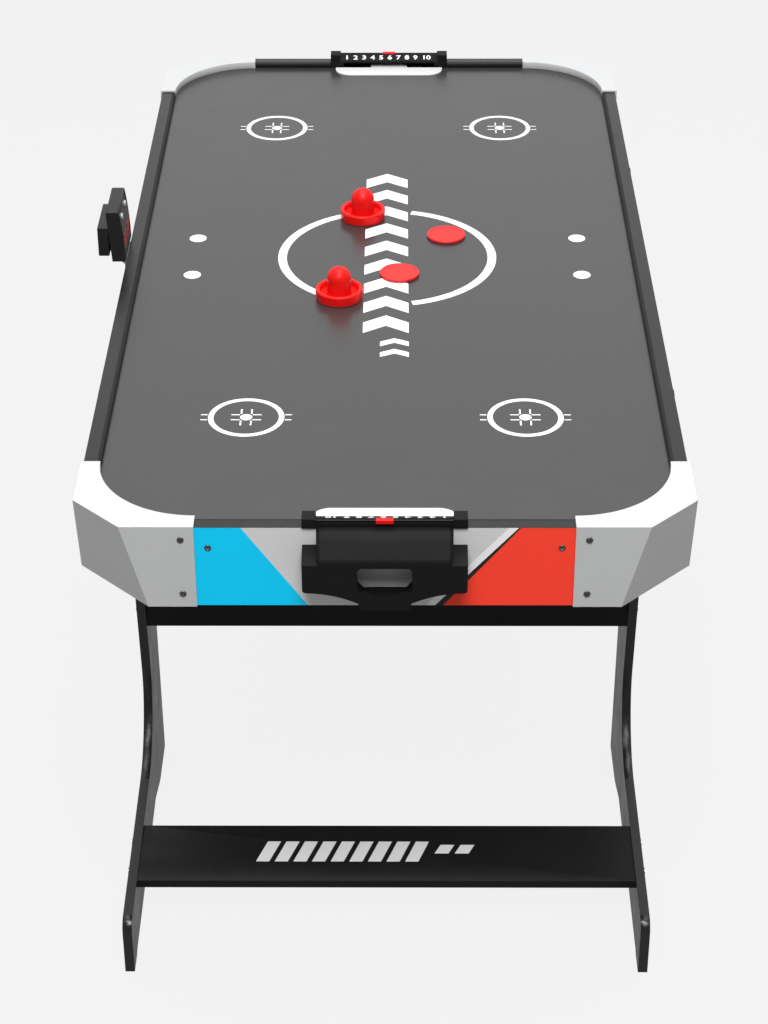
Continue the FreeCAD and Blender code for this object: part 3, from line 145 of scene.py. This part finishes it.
def moulded(name, colour, roughness, grain=0.15, specular=0.5):
    """Moulded plastic: a fine grain, a slow drift in gloss and a faint drift in colour."""
    spread, grain_scale = 0.06, 2600
    made = Nodes(name)
    drift = made.noise(9, 4)
    darker = tuple(c * 0.9 for c in colour)
    made.colour(made.mix(drift, darker, colour))
    made.rough(drift, roughness - spread, roughness + spread)
    made.put(Specular_IOR_Level=specular)
    made.bump(made.noise(grain_scale, 2), grain, 0.05 * MM)
    return made.material


def laminate(name, colour, roughness, peel=0.08, specular=0.5):
    """Printed laminate on board: a slight orange peel and faint dust-sized speckles."""
    speckle = 0.08
    made = Nodes(name)
    cloud = made.noise(5, 5, 0.6)
    dust = made.noise(900, 2)
    fine = made.maths("MULTIPLY", made.maths("SUBTRACT", dust, 0.5), speckle)
    tone = made.maths("ADD", made.between(cloud, 0.94, 1.04), fine)
    shade = made.add("VectorMath", operation="SCALE")
    shade.inputs[0].default_value = colour
    made.link(tone, shade.inputs["Scale"])
    made.link(shade.outputs["Vector"], made.shader.inputs["Base Color"])
    made.rough(made.noise(30, 3), roughness - 0.04, roughness + 0.05)
    made.put(Specular_IOR_Level=specular)
    made.bump(made.noise(420, 2), peel, 0.05 * MM)
    return made.material


def playfield_surface():
    """Dark satin laminate with a grid of air holes."""
    made = Nodes("playfield_laminate")
    pitch, hole_radius = 25.4 * MM, 0.55 * MM
    split = made.add("SeparateXYZ")
    made.link(made.coordinates(), split.inputs["Vector"])
    offsets = []
    for axis in ("X", "Y"):
        cell = made.maths("FRACT", made.maths("DIVIDE", split.outputs[axis], pitch))
        offsets.append(made.maths("MULTIPLY", made.maths("SUBTRACT", cell, 0.5), pitch))
    squares = [made.maths("MULTIPLY", o, o) for o in offsets]
    distance = made.maths("SQRT", made.maths("ADD", *squares))
    is_hole = made.maths("LESS_THAN", distance, hole_radius)
    cloud = made.noise(3.5, 5, 0.6)
    dust = made.noise(700, 3, 0.7)
    base = made.mix(cloud, (0.023, 0.023, 0.0235), (0.029, 0.029, 0.0295))
    dusty = made.mix(made.between(dust, 0.0, 0.35), base, (0.040, 0.040, 0.041))
    made.colour(made.mix(is_hole, dusty, (0.01, 0.01, 0.01)))
    made.rough(made.noise(18, 4), 0.23, 0.29)
    made.put(Specular_IOR_Level=0.6)
    height = made.maths("SUBTRACT", made.maths("MULTIPLY", dust, 0.06), is_hole)
    made.bump(height, 0.2, 0.1 * MM)
    return made.material


def raw_board():
    """Unpainted fibreboard."""
    made = Nodes("raw_board")
    fibres = made.noise(500, 6, 0.75, stretch=(1, 0.35, 1))
    made.colour(made.mix(fibres, (0.20, 0.13, 0.07), (0.42, 0.30, 0.18)))
    made.put(Roughness=0.85)
    made.bump(fibres, 0.3, 0.2 * MM)
    return made.material


def metal(name, colour, roughness, brushed=(1, 1, 1)):
    made = Nodes(name)
    streaks = made.noise(800, 4, 0.6, stretch=brushed)
    made.colour(made.mix(streaks, tuple(c * 0.8 for c in colour), colour))
    made.put(Metallic=1.0)
    made.rough(streaks, roughness - 0.06, roughness + 0.08)
    made.bump(streaks, 0.08, 0.05 * MM)
    return made.material


def printed(name, colour, roughness=0.35, specular=0.5):
    """Screen print: even colour with the slightest drift of ink."""
    made = Nodes(name)
    ink = made.noise(160, 3)
    made.colour(made.mix(ink, tuple(c * 0.95 for c in colour), colour))
    made.rough(ink, roughness - 0.03, roughness + 0.04)
    made.put(Specular_IOR_Level=specular)
    made.bump(made.noise(900, 2), 0.06, 0.04 * MM)
    return made.material


def felt_surface():
    made = Nodes("felt")
    fibres = made.noise(1800, 6, 0.8)
    made.colour(made.mix(fibres, (0.015, 0.015, 0.016), (0.07, 0.07, 0.075)))
    made.put(Roughness=0.95, Sheen_Weight=0.4)
    made.bump(fibres, 0.8, 0.3 * MM)
    return made.material


def circuit_surface():
    made = Nodes("circuit_board")
    tracks = made.add("TexBrick", Scale=120.0)
    made.link(made.coordinates(), tracks.inputs["Vector"])
    tracks.inputs["Color1"].default_value = (0.01, 0.10, 0.03, 1)
    tracks.inputs["Color2"].default_value = (0.015, 0.13, 0.04, 1)
    tracks.inputs["Mortar"].default_value = (0.05, 0.25, 0.09, 1)
    made.link(tracks.outputs["Color"], made.shader.inputs["Base Color"])
    made.put(Roughness=0.4)
    return made.material


def glow(name, colour, strength):
    """An unlit display segment: deep red plastic with a weak painted glow, an emission though the
    segment is no lamp.
    """
    made = Nodes(name)
    grain = made.noise(700, 2)
    made.colour(made.mix(grain, tuple(c * 0.8 for c in colour), colour))
    made.put(Roughness=0.3, Emission_Color=(*colour, 1), Emission_Strength=strength)
    return made.material


MATERIALS = {
    "side_laminate": laminate("side_laminate", (0.010, 0.010, 0.0105), 0.27, specular=0.32),
    "end_laminate": laminate("end_laminate", (0.010, 0.010, 0.0105), 0.3, specular=0.32),
    "playfield_laminate": playfield_surface(),
    "raw_board": raw_board(),
    "rail_plastic": moulded("rail_plastic", (0.009, 0.009, 0.0095), 0.5, specular=0.14),
    "white_plastic": moulded("white_plastic", (0.50, 0.505, 0.51), 0.42, grain=0.12, specular=0.4),
    "black_plastic": moulded("black_plastic", (0.008, 0.008, 0.0085), 0.58, grain=0.2,
                             specular=0.1),
    "leg_laminate": laminate("leg_laminate", (0.007, 0.007, 0.0075), 0.30, peel=0.04),
    "red_plastic": moulded("red_plastic", (0.74, 0.006, 0.005), 0.42, grain=0.02, specular=0.2),
    "button_plastic": moulded("button_plastic", (0.34, 0.345, 0.355), 0.3, grain=0.03),
    "puck_plastic": moulded("puck_plastic", (0.58, 0.020, 0.018), 0.45, grain=0.05, specular=0.25),
    "steel": metal("steel", (0.42, 0.43, 0.45), 0.35),
    "display_plastic": moulded("display_plastic", (0.012, 0.006, 0.006), 0.16, grain=0.02,
                               specular=0.35),
    "circuit_board": circuit_surface(),
    "felt": felt_surface(),
    "grey_plastic": moulded("grey_plastic", (0.16, 0.16, 0.17), 0.5),
    "rocker_plastic": moulded("rocker_plastic", (0.012, 0.012, 0.012), 0.22, grain=0.02),
}
FOOT_LAMINATE = laminate("foot_laminate", (0.008, 0.008, 0.0085), 0.38, specular=0.14)
SCREW_STEEL = metal("screw_steel", (0.15, 0.15, 0.155), 0.34)
DARK_STEEL = metal("dark_steel", (0.022, 0.022, 0.023), 0.5, brushed=(0.05, 1, 1))
HOUSING_BLACK = moulded("housing_black", (0.008, 0.008, 0.0085), 0.4, grain=0.12, specular=0.3)
PLATE_WHITE = moulded("plate_white", (0.62, 0.625, 0.63), 0.35, grain=0.06)
WHITE_PRINT = printed("white_print", (0.70, 0.70, 0.70), 0.4)
CYAN_PRINT = printed("cyan_print", (0.0, 0.60, 0.95), 0.45, specular=0.2)
GREY_PRINT = printed("grey_print", (0.62, 0.62, 0.62), 0.45, specular=0.3)
BRIGHT_PRINT = printed("bright_print", (0.86, 0.86, 0.86), 0.45, specular=0.3)
BLACK_PRINT = printed("black_print", (0.012, 0.012, 0.012), 0.4, specular=0.3)
RED_PRINT = printed("red_print", (0.98, 0.055, 0.028), 0.45, specular=0.2)
# painted glow: the unlit scoreboard digits get a weak red emission
PAINTED_GLOW_RED = glow("display_segment", (0.42, 0.012, 0.010), 0.2)


def assign(item, material):
    item.data.materials.clear()
    item.data.materials.append(material)
    for face in item.data.polygons:
        face.material_index = 0


SLOT_OF = {entry["node"]: entry["material_slot"] for entry in frame["record"]["subparts"]}
for node_name, node_object in frame["nodes"].items():
    assign(node_object, MATERIALS[SLOT_OF[node_name]])
for node_name in ("scoreboard_housing", "battery_box"):
    assign(frame["nodes"][node_name], HOUSING_BLACK)
for end_name in ("near", "far"):
    assign(frame["nodes"]["scorer_rod_" + end_name], DARK_STEEL)
    assign(frame["nodes"]["goal_plate_" + end_name], PLATE_WHITE)
    assign(frame["nodes"]["foot_board_" + end_name], FOOT_LAMINATE)
    assign(frame["nodes"]["cross_panel_" + end_name], FOOT_LAMINATE)


# ---------------------------------------------------------------------------
# Softened edges: modifiers on the CAD nodes, whose own meshes stay as they are
# ---------------------------------------------------------------------------
WELD_REACH, SHARP_ANGLE = 0.004, 40


def soften(node, width):
    """Breaks the sharp edges of a CAD node with a small bevel, its width in millimetres."""
    item = frame["nodes"][node]
    weld = item.modifiers.new("weld", "WELD")
    weld.merge_threshold = WELD_REACH * MM
    bevel = item.modifiers.new("bevel", "BEVEL")
    bevel.width = width * MM
    bevel.segments = 2
    bevel.limit_method = "ANGLE"
    bevel.angle_limit = math.radians(SHARP_ANGLE)
    bevel.harden_normals = True
    bevel.use_clamp_overlap = True


# bevel width, and the starts of the names of the nodes that get it
EDGES = (
    (0.5, ("side_board_", "end_board_near", "end_board_far")),
    (0.5, ("leg_near", "leg_far", "cross_panel_", "foot_board_")),
    (0.35, ("corner_cap_near_", "corner_cap_far_", "puck_catcher_", "scoreboard_housing",
            "battery_box")),
    (0.2, ("scorer_frame_", "goal_plate_", "scoreboard_bracket", "scoreboard_face", "power_panel")),
)
for edge_width, starts in EDGES:
    for node_name in frame["nodes"]:
        if node_name.startswith(starts):
            soften(node_name, edge_width)


def piece(name, mesh_data, material):
    item = bpy.data.objects.new(name, mesh_data)
    bpy.context.scene.collection.objects.link(item)
    assign(item, material)
    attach(item, TABLE)
    return item


def from_bmesh(bm, name):
    bmesh.ops.recalc_face_normals(bm, faces=bm.faces)
    data = bpy.data.meshes.new(name)
    bm.to_mesh(data)
    bm.free()
    return data


def add_prism(bm, outline, place):
    """A thin closed plate from an outline of 2-D points; place(u, v, w) gives the 3-D point."""
    low = [bm.verts.new(place(u, v, 0)) for u, v in outline]
    high = [bm.verts.new(place(u, v, PRINT_THICK)) for u, v in outline]
    bm.faces.new(low[::-1])
    bm.faces.new(high)
    count = len(outline)
    for k in range(count):
        following = (k + 1) % count
        bm.faces.new((low[k], low[following], high[following], high[k]))


def add_ring(bm, centre, inner, outer, place, start=0.0, end=FULL_TURN, steps=96):
    """A closed flat ring, or an arc of one, of rectangular section."""
    whole = end - start > FULL_TURN - 1e-6
    rows = []
    for k in range(steps if whole else steps + 1):
        angle = start + (end - start) * k / steps
        row = []
        for radius, w in ((inner, 0), (outer, 0), (outer, PRINT_THICK), (inner, PRINT_THICK)):
            row.append(bm.verts.new(place(centre[0] + radius * math.cos(angle),
                                          centre[1] + radius * math.sin(angle), w)))
        rows.append(row)
    for k in range(steps):
        here, there = rows[k], rows[(k + 1) % len(rows)]
        for side in range(4):
            after = (side + 1) % 4
            bm.faces.new((here[side], here[after], there[after], there[side]))
    if not whole:
        bm.faces.new(rows[0])
        bm.faces.new(rows[-1][::-1])


def circle(radius, steps):
    """Points of a circle round the origin."""
    angles = [FULL_TURN * k / steps for k in range(steps)]
    return [(radius * math.cos(a), radius * math.sin(a)) for a in angles]


def disc_outline(x, y, radius):
    return [(x + u, y + v) for u, v in circle(radius, 40)]


def bar(x0, y0, x1, y1):
    return [(x0, y0), (x1, y0), (x1, y1), (x0, y1)]


# ---------------------------------------------------------------------------
# Playfield markings
# ---------------------------------------------------------------------------
def on_play(u, v, w):
    return Vector((u * MM, v * MM, PLAY_TOP + w))


def face_off_marks():
    """Four rings with a dot in the middle, and short lines round the dot and outside the ring."""
    apart_x, apart_y = 165.5, 430.6
    ring_inner, ring_outer, dot_radius = 38.8, 45.3, 7.3
    cross_lines = ((7.5, 18), (46, 54))
    cross_off, long_off, long_line, half_line = 5.95, 6.1, (8, 19), 1
    bm = bmesh.new()
    for sx in (-1, 1):
        for sy in (-1, 1):
            x, y = sx * apart_x, sy * apart_y
            add_ring(bm, (x, y), ring_inner, ring_outer, on_play)
            add_prism(bm, disc_outline(x, y, dot_radius), on_play)
            for side in (-1, 1):
                for off in (y - cross_off, y + cross_off):
                    for near, far in cross_lines:
                        inner, outer = sorted((x + side * near, x + side * far))
                        add_prism(bm, bar(inner, off - half_line, outer, off + half_line), on_play)
                low, high = sorted(y + side * reach for reach in long_line)
                for off in (x - long_off, x + long_off):
                    add_prism(bm, bar(off - half_line, low, off + half_line, high), on_play)
    piece("face_off_marks", from_bmesh(bm, "face_off_marks"), WHITE_PRINT)


def side_dots():
    apart_x, apart_y, radius = 256.5, 55, 11.5
    bm = bmesh.new()
    for x in (-apart_x, apart_x):
        for y in (-apart_y, apart_y):
            add_prism(bm, disc_outline(x, y, radius), on_play)
    piece("side_dots", from_bmesh(bm, "side_dots"), WHITE_PRINT)


def centre_ring():
    """The centre ring stops on both sides of the column of bars."""
    bm = bmesh.new()
    inner, outer = 134.0, 145.5
    left, right = -52.0, 34.0
    right_stop, left_stop = math.acos(right / outer), math.acos(left / outer)
    add_ring(bm, (0, 0), inner, outer, on_play, left_stop, FULL_TURN - left_stop, 90)
    add_ring(bm, (0, 0), inner, outer, on_play, -right_stop, right_stop, 90)
    piece("centre_ring", from_bmesh(bm, "centre_ring"), WHITE_PRINT)


def centre_column():
    """Plain chevrons down the middle of the table, and two small ones at the near end."""
    bm = bmesh.new()
    left, right = -30.0, 28.0
    low, high, count = -218.0, 272.0, 9
    small_left, small_low, small_step, small_thick, small_rise = -8.0, -281.0, 28, 12, 9
    step = (high - low) / count
    for k in range(count):
        add_chevron(bm, left, right, low + k * step, 0.52 * step, 0.36 * step)
    for k in range(2):
        add_chevron(bm, small_left, right, small_low + k * small_step, small_thick, small_rise)
    piece("centre_column", from_bmesh(bm, "centre_column"), WHITE_PRINT)


def add_chevron(bm, left, right, start, thick, rise):
    """A V of two slanted bars whose point looks towards the far end."""
    middle = (left + right) / 2
    add_prism(bm, [(left, start), (middle, start + rise), (middle, start + rise + thick),
                   (left, start + thick)], on_play)
    add_prism(bm, [(middle, start + rise), (right, start), (right, start + thick),
                   (middle, start + rise + thick)], on_play)


# ---------------------------------------------------------------------------
# Screws: domed heads with a cross recess, where the CAD's plain ones are
# ---------------------------------------------------------------------------
HEAD_RADIUS, HEAD_TALL, HEAD_RIM, SHANK_RADIUS = 3.9 * MM, 1.6 * MM, 0.5 * MM, 2 * MM


def screw_spots(node):
    """Each screw of a node as (point under the head's middle, outward direction, shank length)."""
    bm = bmesh.new()
    bm.from_mesh(frame["nodes"][node].data)
    bmesh.ops.remove_doubles(bm, verts=bm.verts, dist=0.01 * MM)
    unseen, spots = set(bm.verts), []
    while unseen:
        island, edge_of_search = [], [unseen.pop()]
        while edge_of_search:
            vertex = edge_of_search.pop()
            island.append(vertex.co.copy())
            for link in vertex.link_edges:
                other = link.other_vert(vertex)
                if other in unseen:
                    unseen.remove(other)
                    edge_of_search.append(other)
        low = Vector([min(p[k] for p in island) for k in range(3)])
        high = Vector([max(p[k] for p in island) for k in range(3)])
        middle, size = (low + high) / 2, high - low
        axis = max(range(3), key=lambda k: size[k])
        wide = [p for p in island
                if (p - middle - (p - middle)[axis] * unit(axis)).length > 0.8 * HEAD_RADIUS]
        way = 1 if sum(p[axis] for p in wide) / len(wide) > middle[axis] else -1
        seat = middle.copy()
        seat[axis] = middle[axis] + way * (size[axis] / 2 - HEAD_TALL)
        spots.append((seat, way * unit(axis), size[axis] - HEAD_TALL))
    bm.free()
    # a set gives its vertices in no fixed order, so the screws are sorted by place
    return sorted(spots, key=lambda spot: [round(part, 5) for part in spot[0]])


def unit(axis):
    return Vector([1.0 if k == axis else 0.0 for k in range(3)])


def head_height(x, y):
    """Height of a pan head over its seat, with a tapered cross sunk into the dome."""
    fullness = 2.4
    slot_half, slot_reach, depth = 0.13, 0.56, 1.0 * MM
    reach = math.hypot(x, y) / HEAD_RADIUS
    dome = HEAD_RIM + (HEAD_TALL - HEAD_RIM) * math.sqrt(max(0.0, 1 - reach ** fullness))
    across, along_arm = sorted((abs(x), abs(y)))
    inside = 1 - smooth(across / HEAD_RADIUS, slot_half * 0.6, slot_half * 1.3)
    inside *= 1 - smooth(along_arm / HEAD_RADIUS, slot_reach * 0.7, slot_reach)
    return dome - depth * inside


def smooth(value, low, high):
    t = min(1.0, max(0.0, (value - low) / (high - low)))
    return t * t * (3 - 2 * t)


def cross_screws(node, twist):
    """Replaces every screw of a CAD node; each one is turned a little further than the last."""
    bm = bmesh.new()
    rings, steps = 18, 56
    for number, (seat, out, shank) in enumerate(screw_spots(node)):
        side = out.orthogonal().normalized()
        other = out.cross(side)
        turn = twist * (number + 1)

        def at(x, y, z):
            u = x * math.cos(turn) - y * math.sin(turn)
            v = x * math.sin(turn) + y * math.cos(turn)
            return bm.verts.new(seat + side * u + other * v + out * z)

        rows = []
        for k in range(1, rings + 1):
            ring = circle(HEAD_RADIUS * k / rings, steps)
            rows.append([at(x, y, head_height(x, y)) for x, y in ring])
        for radius, z in ((HEAD_RADIUS, 0), (SHANK_RADIUS, 0), (SHANK_RADIUS, -shank)):
            rows.append([at(x, y, z) for x, y in circle(radius, steps)])
        tip = at(0, 0, head_height(0, 0))
        for j in range(steps):
            after = (j + 1) % steps
            bm.faces.new((tip, rows[0][j], rows[0][after]))
            for inner, outer in zip(rows, rows[1:]):
                bm.faces.new((inner[j], outer[j], outer[after], inner[after]))
        bm.faces.new(rows[-1])
    item = piece(node + "_heads", from_bmesh(bm, node), SCREW_STEEL)
    for face in item.data.polygons:
        face.use_smooth = len(face.vertices) in (3, 4)
    item.data.set_sharp_from_angle(angle=math.radians(50))
    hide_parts(node)


# ---------------------------------------------------------------------------
# Scoreboard: seven segment digits on the face, two under each button
# ---------------------------------------------------------------------------
FACE_LOW, FACE_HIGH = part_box("scoreboard_face")
HOUSE_LOW, HOUSE_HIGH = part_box("scoreboard_housing")


def face_front(z):
    """x of the bowed face's playfield side at a height: two straight halves that meet midway."""
    low_x, middle_x, high_x = -346.25 * MM, -346.55 * MM, -350.64 * MM
    middle = (FACE_LOW.z + FACE_HIGH.z) / 2
    if z < middle:
        return low_x + (middle_x - low_x) * (z - FACE_LOW.z) / (middle - FACE_LOW.z)
    return middle_x + (high_x - middle_x) * (z - middle) / (FACE_HIGH.z - middle)


def seven_segments():
    """Outlines of the seven bars of one digit, in a box one unit wide and 1.75 units tall."""
    tall, half, point, edge, end, gap = 1.75, 0.12, 0.08, 0.1, 0.14, 0.05

    def level(y):
        left, right = end, 1 - end
        return [(left, y), (left + point, y + half), (right - point, y + half), (right, y),
                (right - point, y - half), (left + point, y - half)]

    def upright(x, low, high):
        return [(x, low), (x + half, low + point), (x + half, high - point), (x, high),
                (x - half, high - point), (x - half, low + point)]

    bars = [level(edge), level(tall / 2), level(tall - edge)]
    for x in (edge, 1 - edge):
        bars += [upright(x, end, tall / 2 - gap), upright(x, tall / 2 + gap, tall - end)]
    return bars


def scoreboard_digits():
    middle_y = (HOUSE_LOW.y + HOUSE_HIGH.y) / 2
    wide, rise, inner, outer = 11.5 * MM, 10 * MM, 11.5 * MM, 24.5 * MM
    bm = bmesh.new()
    for off in (-outer, -inner, inner, outer):
        def place(u, v, w):
            z = FACE_LOW.z + rise + v * wide
            return Vector((face_front(z) + w, middle_y + off - (0.5 - u) * wide, z))

        for outline in seven_segments():
            add_prism(bm, outline, place)
    # the digits carry a painted glow, a weak emission on unlit segments
    piece("scoreboard_digits", from_bmesh(bm, "digits"), PAINTED_GLOW_RED)


# ---------------------------------------------------------------------------
# Printed bands on the end boards, stripes on the foot boards
# ---------------------------------------------------------------------------
def end_board_bands(end):
    """Cyan, light grey and red panels; a white stripe and a tapering black one part the last two.

    Across the board and up from the playfield's top, in millimetres.
    """
    turn = 1 if end == "near" else -1

    def place(u, v, w):
        return Vector((turn * u * MM, turn * (END_BOARD_FACE - w), PLAY_TOP + v * MM))

    top, low, edge, goal, sill = 7.6, -94.6, 257.6, 75.5, -14.0
    cyan_low, white_low, black_low, red_low = -86.0, 46.0, 56.0, 65.0
    cyan_top, white_top, black_top, red_top = -158.0, 136.0, 146.8, 149.4
    step = low + (top - low) * (goal - white_low) / (white_top - white_low)
    bands = {
        "cyan": (CYAN_PRINT, [(-edge, low), (cyan_low, low), (cyan_top, top), (-edge, top)]),
        "grey": (GREY_PRINT, [(cyan_low, low), (white_low, low), (goal, step), (goal, sill),
                              (-goal, sill), (-goal, top), (cyan_top, top)]),
        "grey_corner": (GREY_PRINT, [(goal, step), (white_top, top), (goal, top)]),
        "white": (BRIGHT_PRINT, [(white_low, low), (black_low, low), (black_top, top),
                                 (white_top, top)]),
        "black": (BLACK_PRINT, [(black_low, low), (red_low, low), (red_top, top),
                                (black_top, top)]),
        "red": (RED_PRINT, [(red_low, low), (edge, low), (edge, top), (red_top, top)]),
    }
    for name, (material, outline) in bands.items():
        bm = bmesh.new()
        add_prism(bm, outline, place)
        piece("end_board_%s_%s" % (name, end), from_bmesh(bm, name), material)


def foot_board_stripes(end):
    """Nine plain white slanted stripes along the middle of the foot board, and two short ones."""
    turn = 1 if end == "near" else -1
    tilt = math.radians(3.5)
    back_y, back_drop = -455.0, 602.5
    back = Vector((0, back_y * MM, PLAY_TOP - back_drop * MM))

    def place(u, v, w):
        y = back.y - v * MM * math.cos(tilt) - w * math.sin(tilt)
        z = back.z - v * MM * math.sin(tilt) + w * math.cos(tilt)
        return Vector((turn * u * MM, turn * y, z))

    bm = bmesh.new()
    # left end, how many, step, width, slant, near edge, far edge
    rows = ((-168.0, 9, 24.0, 17.0, 14.0, 67.0, 30.0), (62.0, 2, 26.0, 18.0, 8.0, 52.0, 36.0))
    for left, count, step, width, slant, near_edge, far_edge in rows:
        for k in range(count):
            x = left + k * step
            add_prism(bm, [(x, near_edge), (x + width, near_edge), (x + width + slant, far_edge),
                           (x + slant, far_edge)], place)
    piece("foot_board_stripes_" + end, from_bmesh(bm, "stripes"), WHITE_PRINT)


# ---------------------------------------------------------------------------
# Numbers 1 to 10 on the slanted strip of each scorer
# ---------------------------------------------------------------------------
def scorer_numbers(end):
    turn = 1 if end == "near" else -1
    # y and rise over the playfield of the strip's inner and outer edges
    low, high = (-667.0, 11.0), (-681.5, 17.2)
    first, step, ten_shift = -65.5, 13.4, 3.5
    size, bold, squash, thick, lift = 14.0, 0.42, 0.86, 0.1, 0.12
    run = Vector((0, high[0] - low[0], high[1] - low[1]))
    up = run.normalized()
    right = Vector((-1, 0, 0))
    normal = right.cross(up)
    middle = Vector((0, (low[0] + high[0]) / 2, (low[1] + high[1]) / 2))
    basis = Matrix((right, up, normal)).transposed().to_4x4()
    half_turn = Matrix.Rotation(0 if turn > 0 else math.pi, 4, "Z")
    bm = bmesh.new()
    for k in range(10):
        text = bpy.data.curves.new("number", "FONT")
        text.body = str(k + 1)
        text.size = size
        text.align_x = "CENTER"
        text.align_y = "CENTER"
        text.offset = bold
        text.extrude = thick
        text.resolution_u = 4
        holder = bpy.data.objects.new("number", text)
        bpy.context.scene.collection.objects.link(holder)
        bpy.context.view_layer.update()
        data = bpy.data.meshes.new_from_object(holder)
        bpy.data.objects.remove(holder)
        across = first + step * k + (ten_shift if k == 9 else 0)
        spot = Matrix.Translation(middle + right * across + normal * lift)
        data.transform(Matrix.Diagonal((1.0, squash, 1.0, 1.0)))
        data.transform(half_turn @ Matrix.Diagonal((MM, MM, MM, 1)) @ spot @ basis)
        data.transform(Matrix.Translation((0, 0, PLAY_TOP)))
        bm.from_mesh(data)
        bpy.data.meshes.remove(data)
    data = bpy.data.meshes.new("numbers")
    bm.to_mesh(data)
    bm.free()
    piece("scorer_numbers_" + end, data, WHITE_PRINT)


TWISTS = {"corner_cap_screws": 0.5, "end_board_screws": 0.8, "bracket_screws": 0.3}
for node_name, node_twist in TWISTS.items():
    cross_screws(node_name, node_twist)
for build in (face_off_marks, side_dots, centre_ring, centre_column, scoreboard_digits):
    build()
for end_name in ("near", "far"):
    end_board_bands(end_name)
    foot_board_stripes(end_name)
    scorer_numbers(end_name)


# ---------------------------------------------------------------------------
# Stage: floor, light and camera
# ---------------------------------------------------------------------------
FLOOR_SEEN, FLOOR_LIT = 0.86, 0.36
WALL_SEEN, WALL_DIM, WALL_BRIGHT = 0.896, 0.3, 1.0


def camera_only(tree, seen, lit):
    """One value for what the camera sees straight, another for what lights and shows in gloss."""
    path = tree.nodes.new("ShaderNodeLightPath")
    pick = tree.nodes.new("ShaderNodeMix")
    pick.data_type = "FLOAT"
    tree.links.new(path.outputs["Is Camera Ray"], pick.inputs["Factor"])
    for socket, value in ((pick.inputs["A"], lit), (pick.inputs["B"], seen)):
        if isinstance(value, (int, float)):
            socket.default_value = value
        else:
            tree.links.new(value, socket)
    return pick.outputs["Result"]


def stage_floor():
    """A pale floor that mostly shines by itself, so the object's shadow on it stays faint."""
    bm = bmesh.new()
    half = 30
    bm.faces.new([bm.verts.new((x, y, 0)) for x, y in bar(-half, -half, half, half)])
    data = bpy.data.meshes.new("floor")
    bm.to_mesh(data)
    bm.free()
    floor = bpy.data.objects.new("floor", data)
    bpy.context.scene.collection.objects.link(floor)
    made = Nodes("floor")
    made.put(Base_Color=(0.03, 0.03, 0.03, 1), Roughness=1.0, Specular_IOR_Level=0.0,
             Emission_Color=(1, 1, 1, 1))
    level = camera_only(made.tree, FLOOR_SEEN, FLOOR_LIT)
    made.link(level, made.shader.inputs["Emission Strength"])
    assign(floor, made.material)


def area_light(name, energy, size, location, target):
    lamp = bpy.data.lights.new(name, "AREA")
    lamp.shape = "DISK"
    lamp.size = size
    lamp.energy = energy
    holder = bpy.data.objects.new(name, lamp)
    holder.location = location
    holder.rotation_euler = (Vector(target) - Vector(location)).to_track_quat("-Z", "Y").to_euler()
    bpy.context.scene.collection.objects.link(holder)


def studio_light():
    """A bright wall behind the table shows in its gloss; soft boxes above and in front light it."""
    world = bpy.data.worlds.new("studio")
    bpy.context.scene.world = world
    world.use_nodes = True
    tree = world.node_tree
    background = tree.nodes["Background"]
    where = tree.nodes.new("ShaderNodeTexCoord")
    split = tree.nodes.new("ShaderNodeSeparateXYZ")
    tree.links.new(where.outputs["Generated"], split.inputs["Vector"])
    wall = tree.nodes.new("ShaderNodeMapRange")
    wall.inputs["From Min"].default_value = -0.25
    wall.inputs["From Max"].default_value = 0.7
    wall.inputs["To Min"].default_value = WALL_DIM
    wall.inputs["To Max"].default_value = WALL_BRIGHT
    tree.links.new(split.outputs["Y"], wall.inputs["Value"])
    level = camera_only(tree, WALL_SEEN, wall.outputs["Result"])
    tree.links.new(level, background.inputs["Color"])
    area_light("overhead", 62, 2.4, (0, 0.2, 3.2), (0, 0, 0.7))
    area_light("front", 192, 2.2, (0, -2.8, 4.3), (0, 0, 0.5))


def camera():
    """Pitched down at the near end, with a trace of yaw and roll, and a long lens."""
    half_frame, focal_length = 512, 2419.37
    data = bpy.data.cameras.new("camera")
    data.sensor_fit = "VERTICAL"
    data.angle = 2 * math.atan(half_frame / focal_length)
    data.clip_end = 100
    holder = bpy.data.objects.new("camera", data)
    position = Vector((13.95, -2917.2, 2122.3)) * MM
    pitch, yaw, roll = 32.182, 0.378, -0.171
    holder.matrix_world = (Matrix.Translation(position) @ Matrix.Rotation(math.radians(yaw), 4, "Z")
                           @ Matrix.Rotation(math.radians(90 - pitch), 4, "X")
                           @ Matrix.Rotation(math.radians(roll), 4, "Z"))
    bpy.context.scene.collection.objects.link(holder)
    bpy.context.scene.camera = holder


stage_floor()
studio_light()
camera()
bpy.context.scene.view_settings.view_transform = "Standard"

bpy.context.view_layer.update()
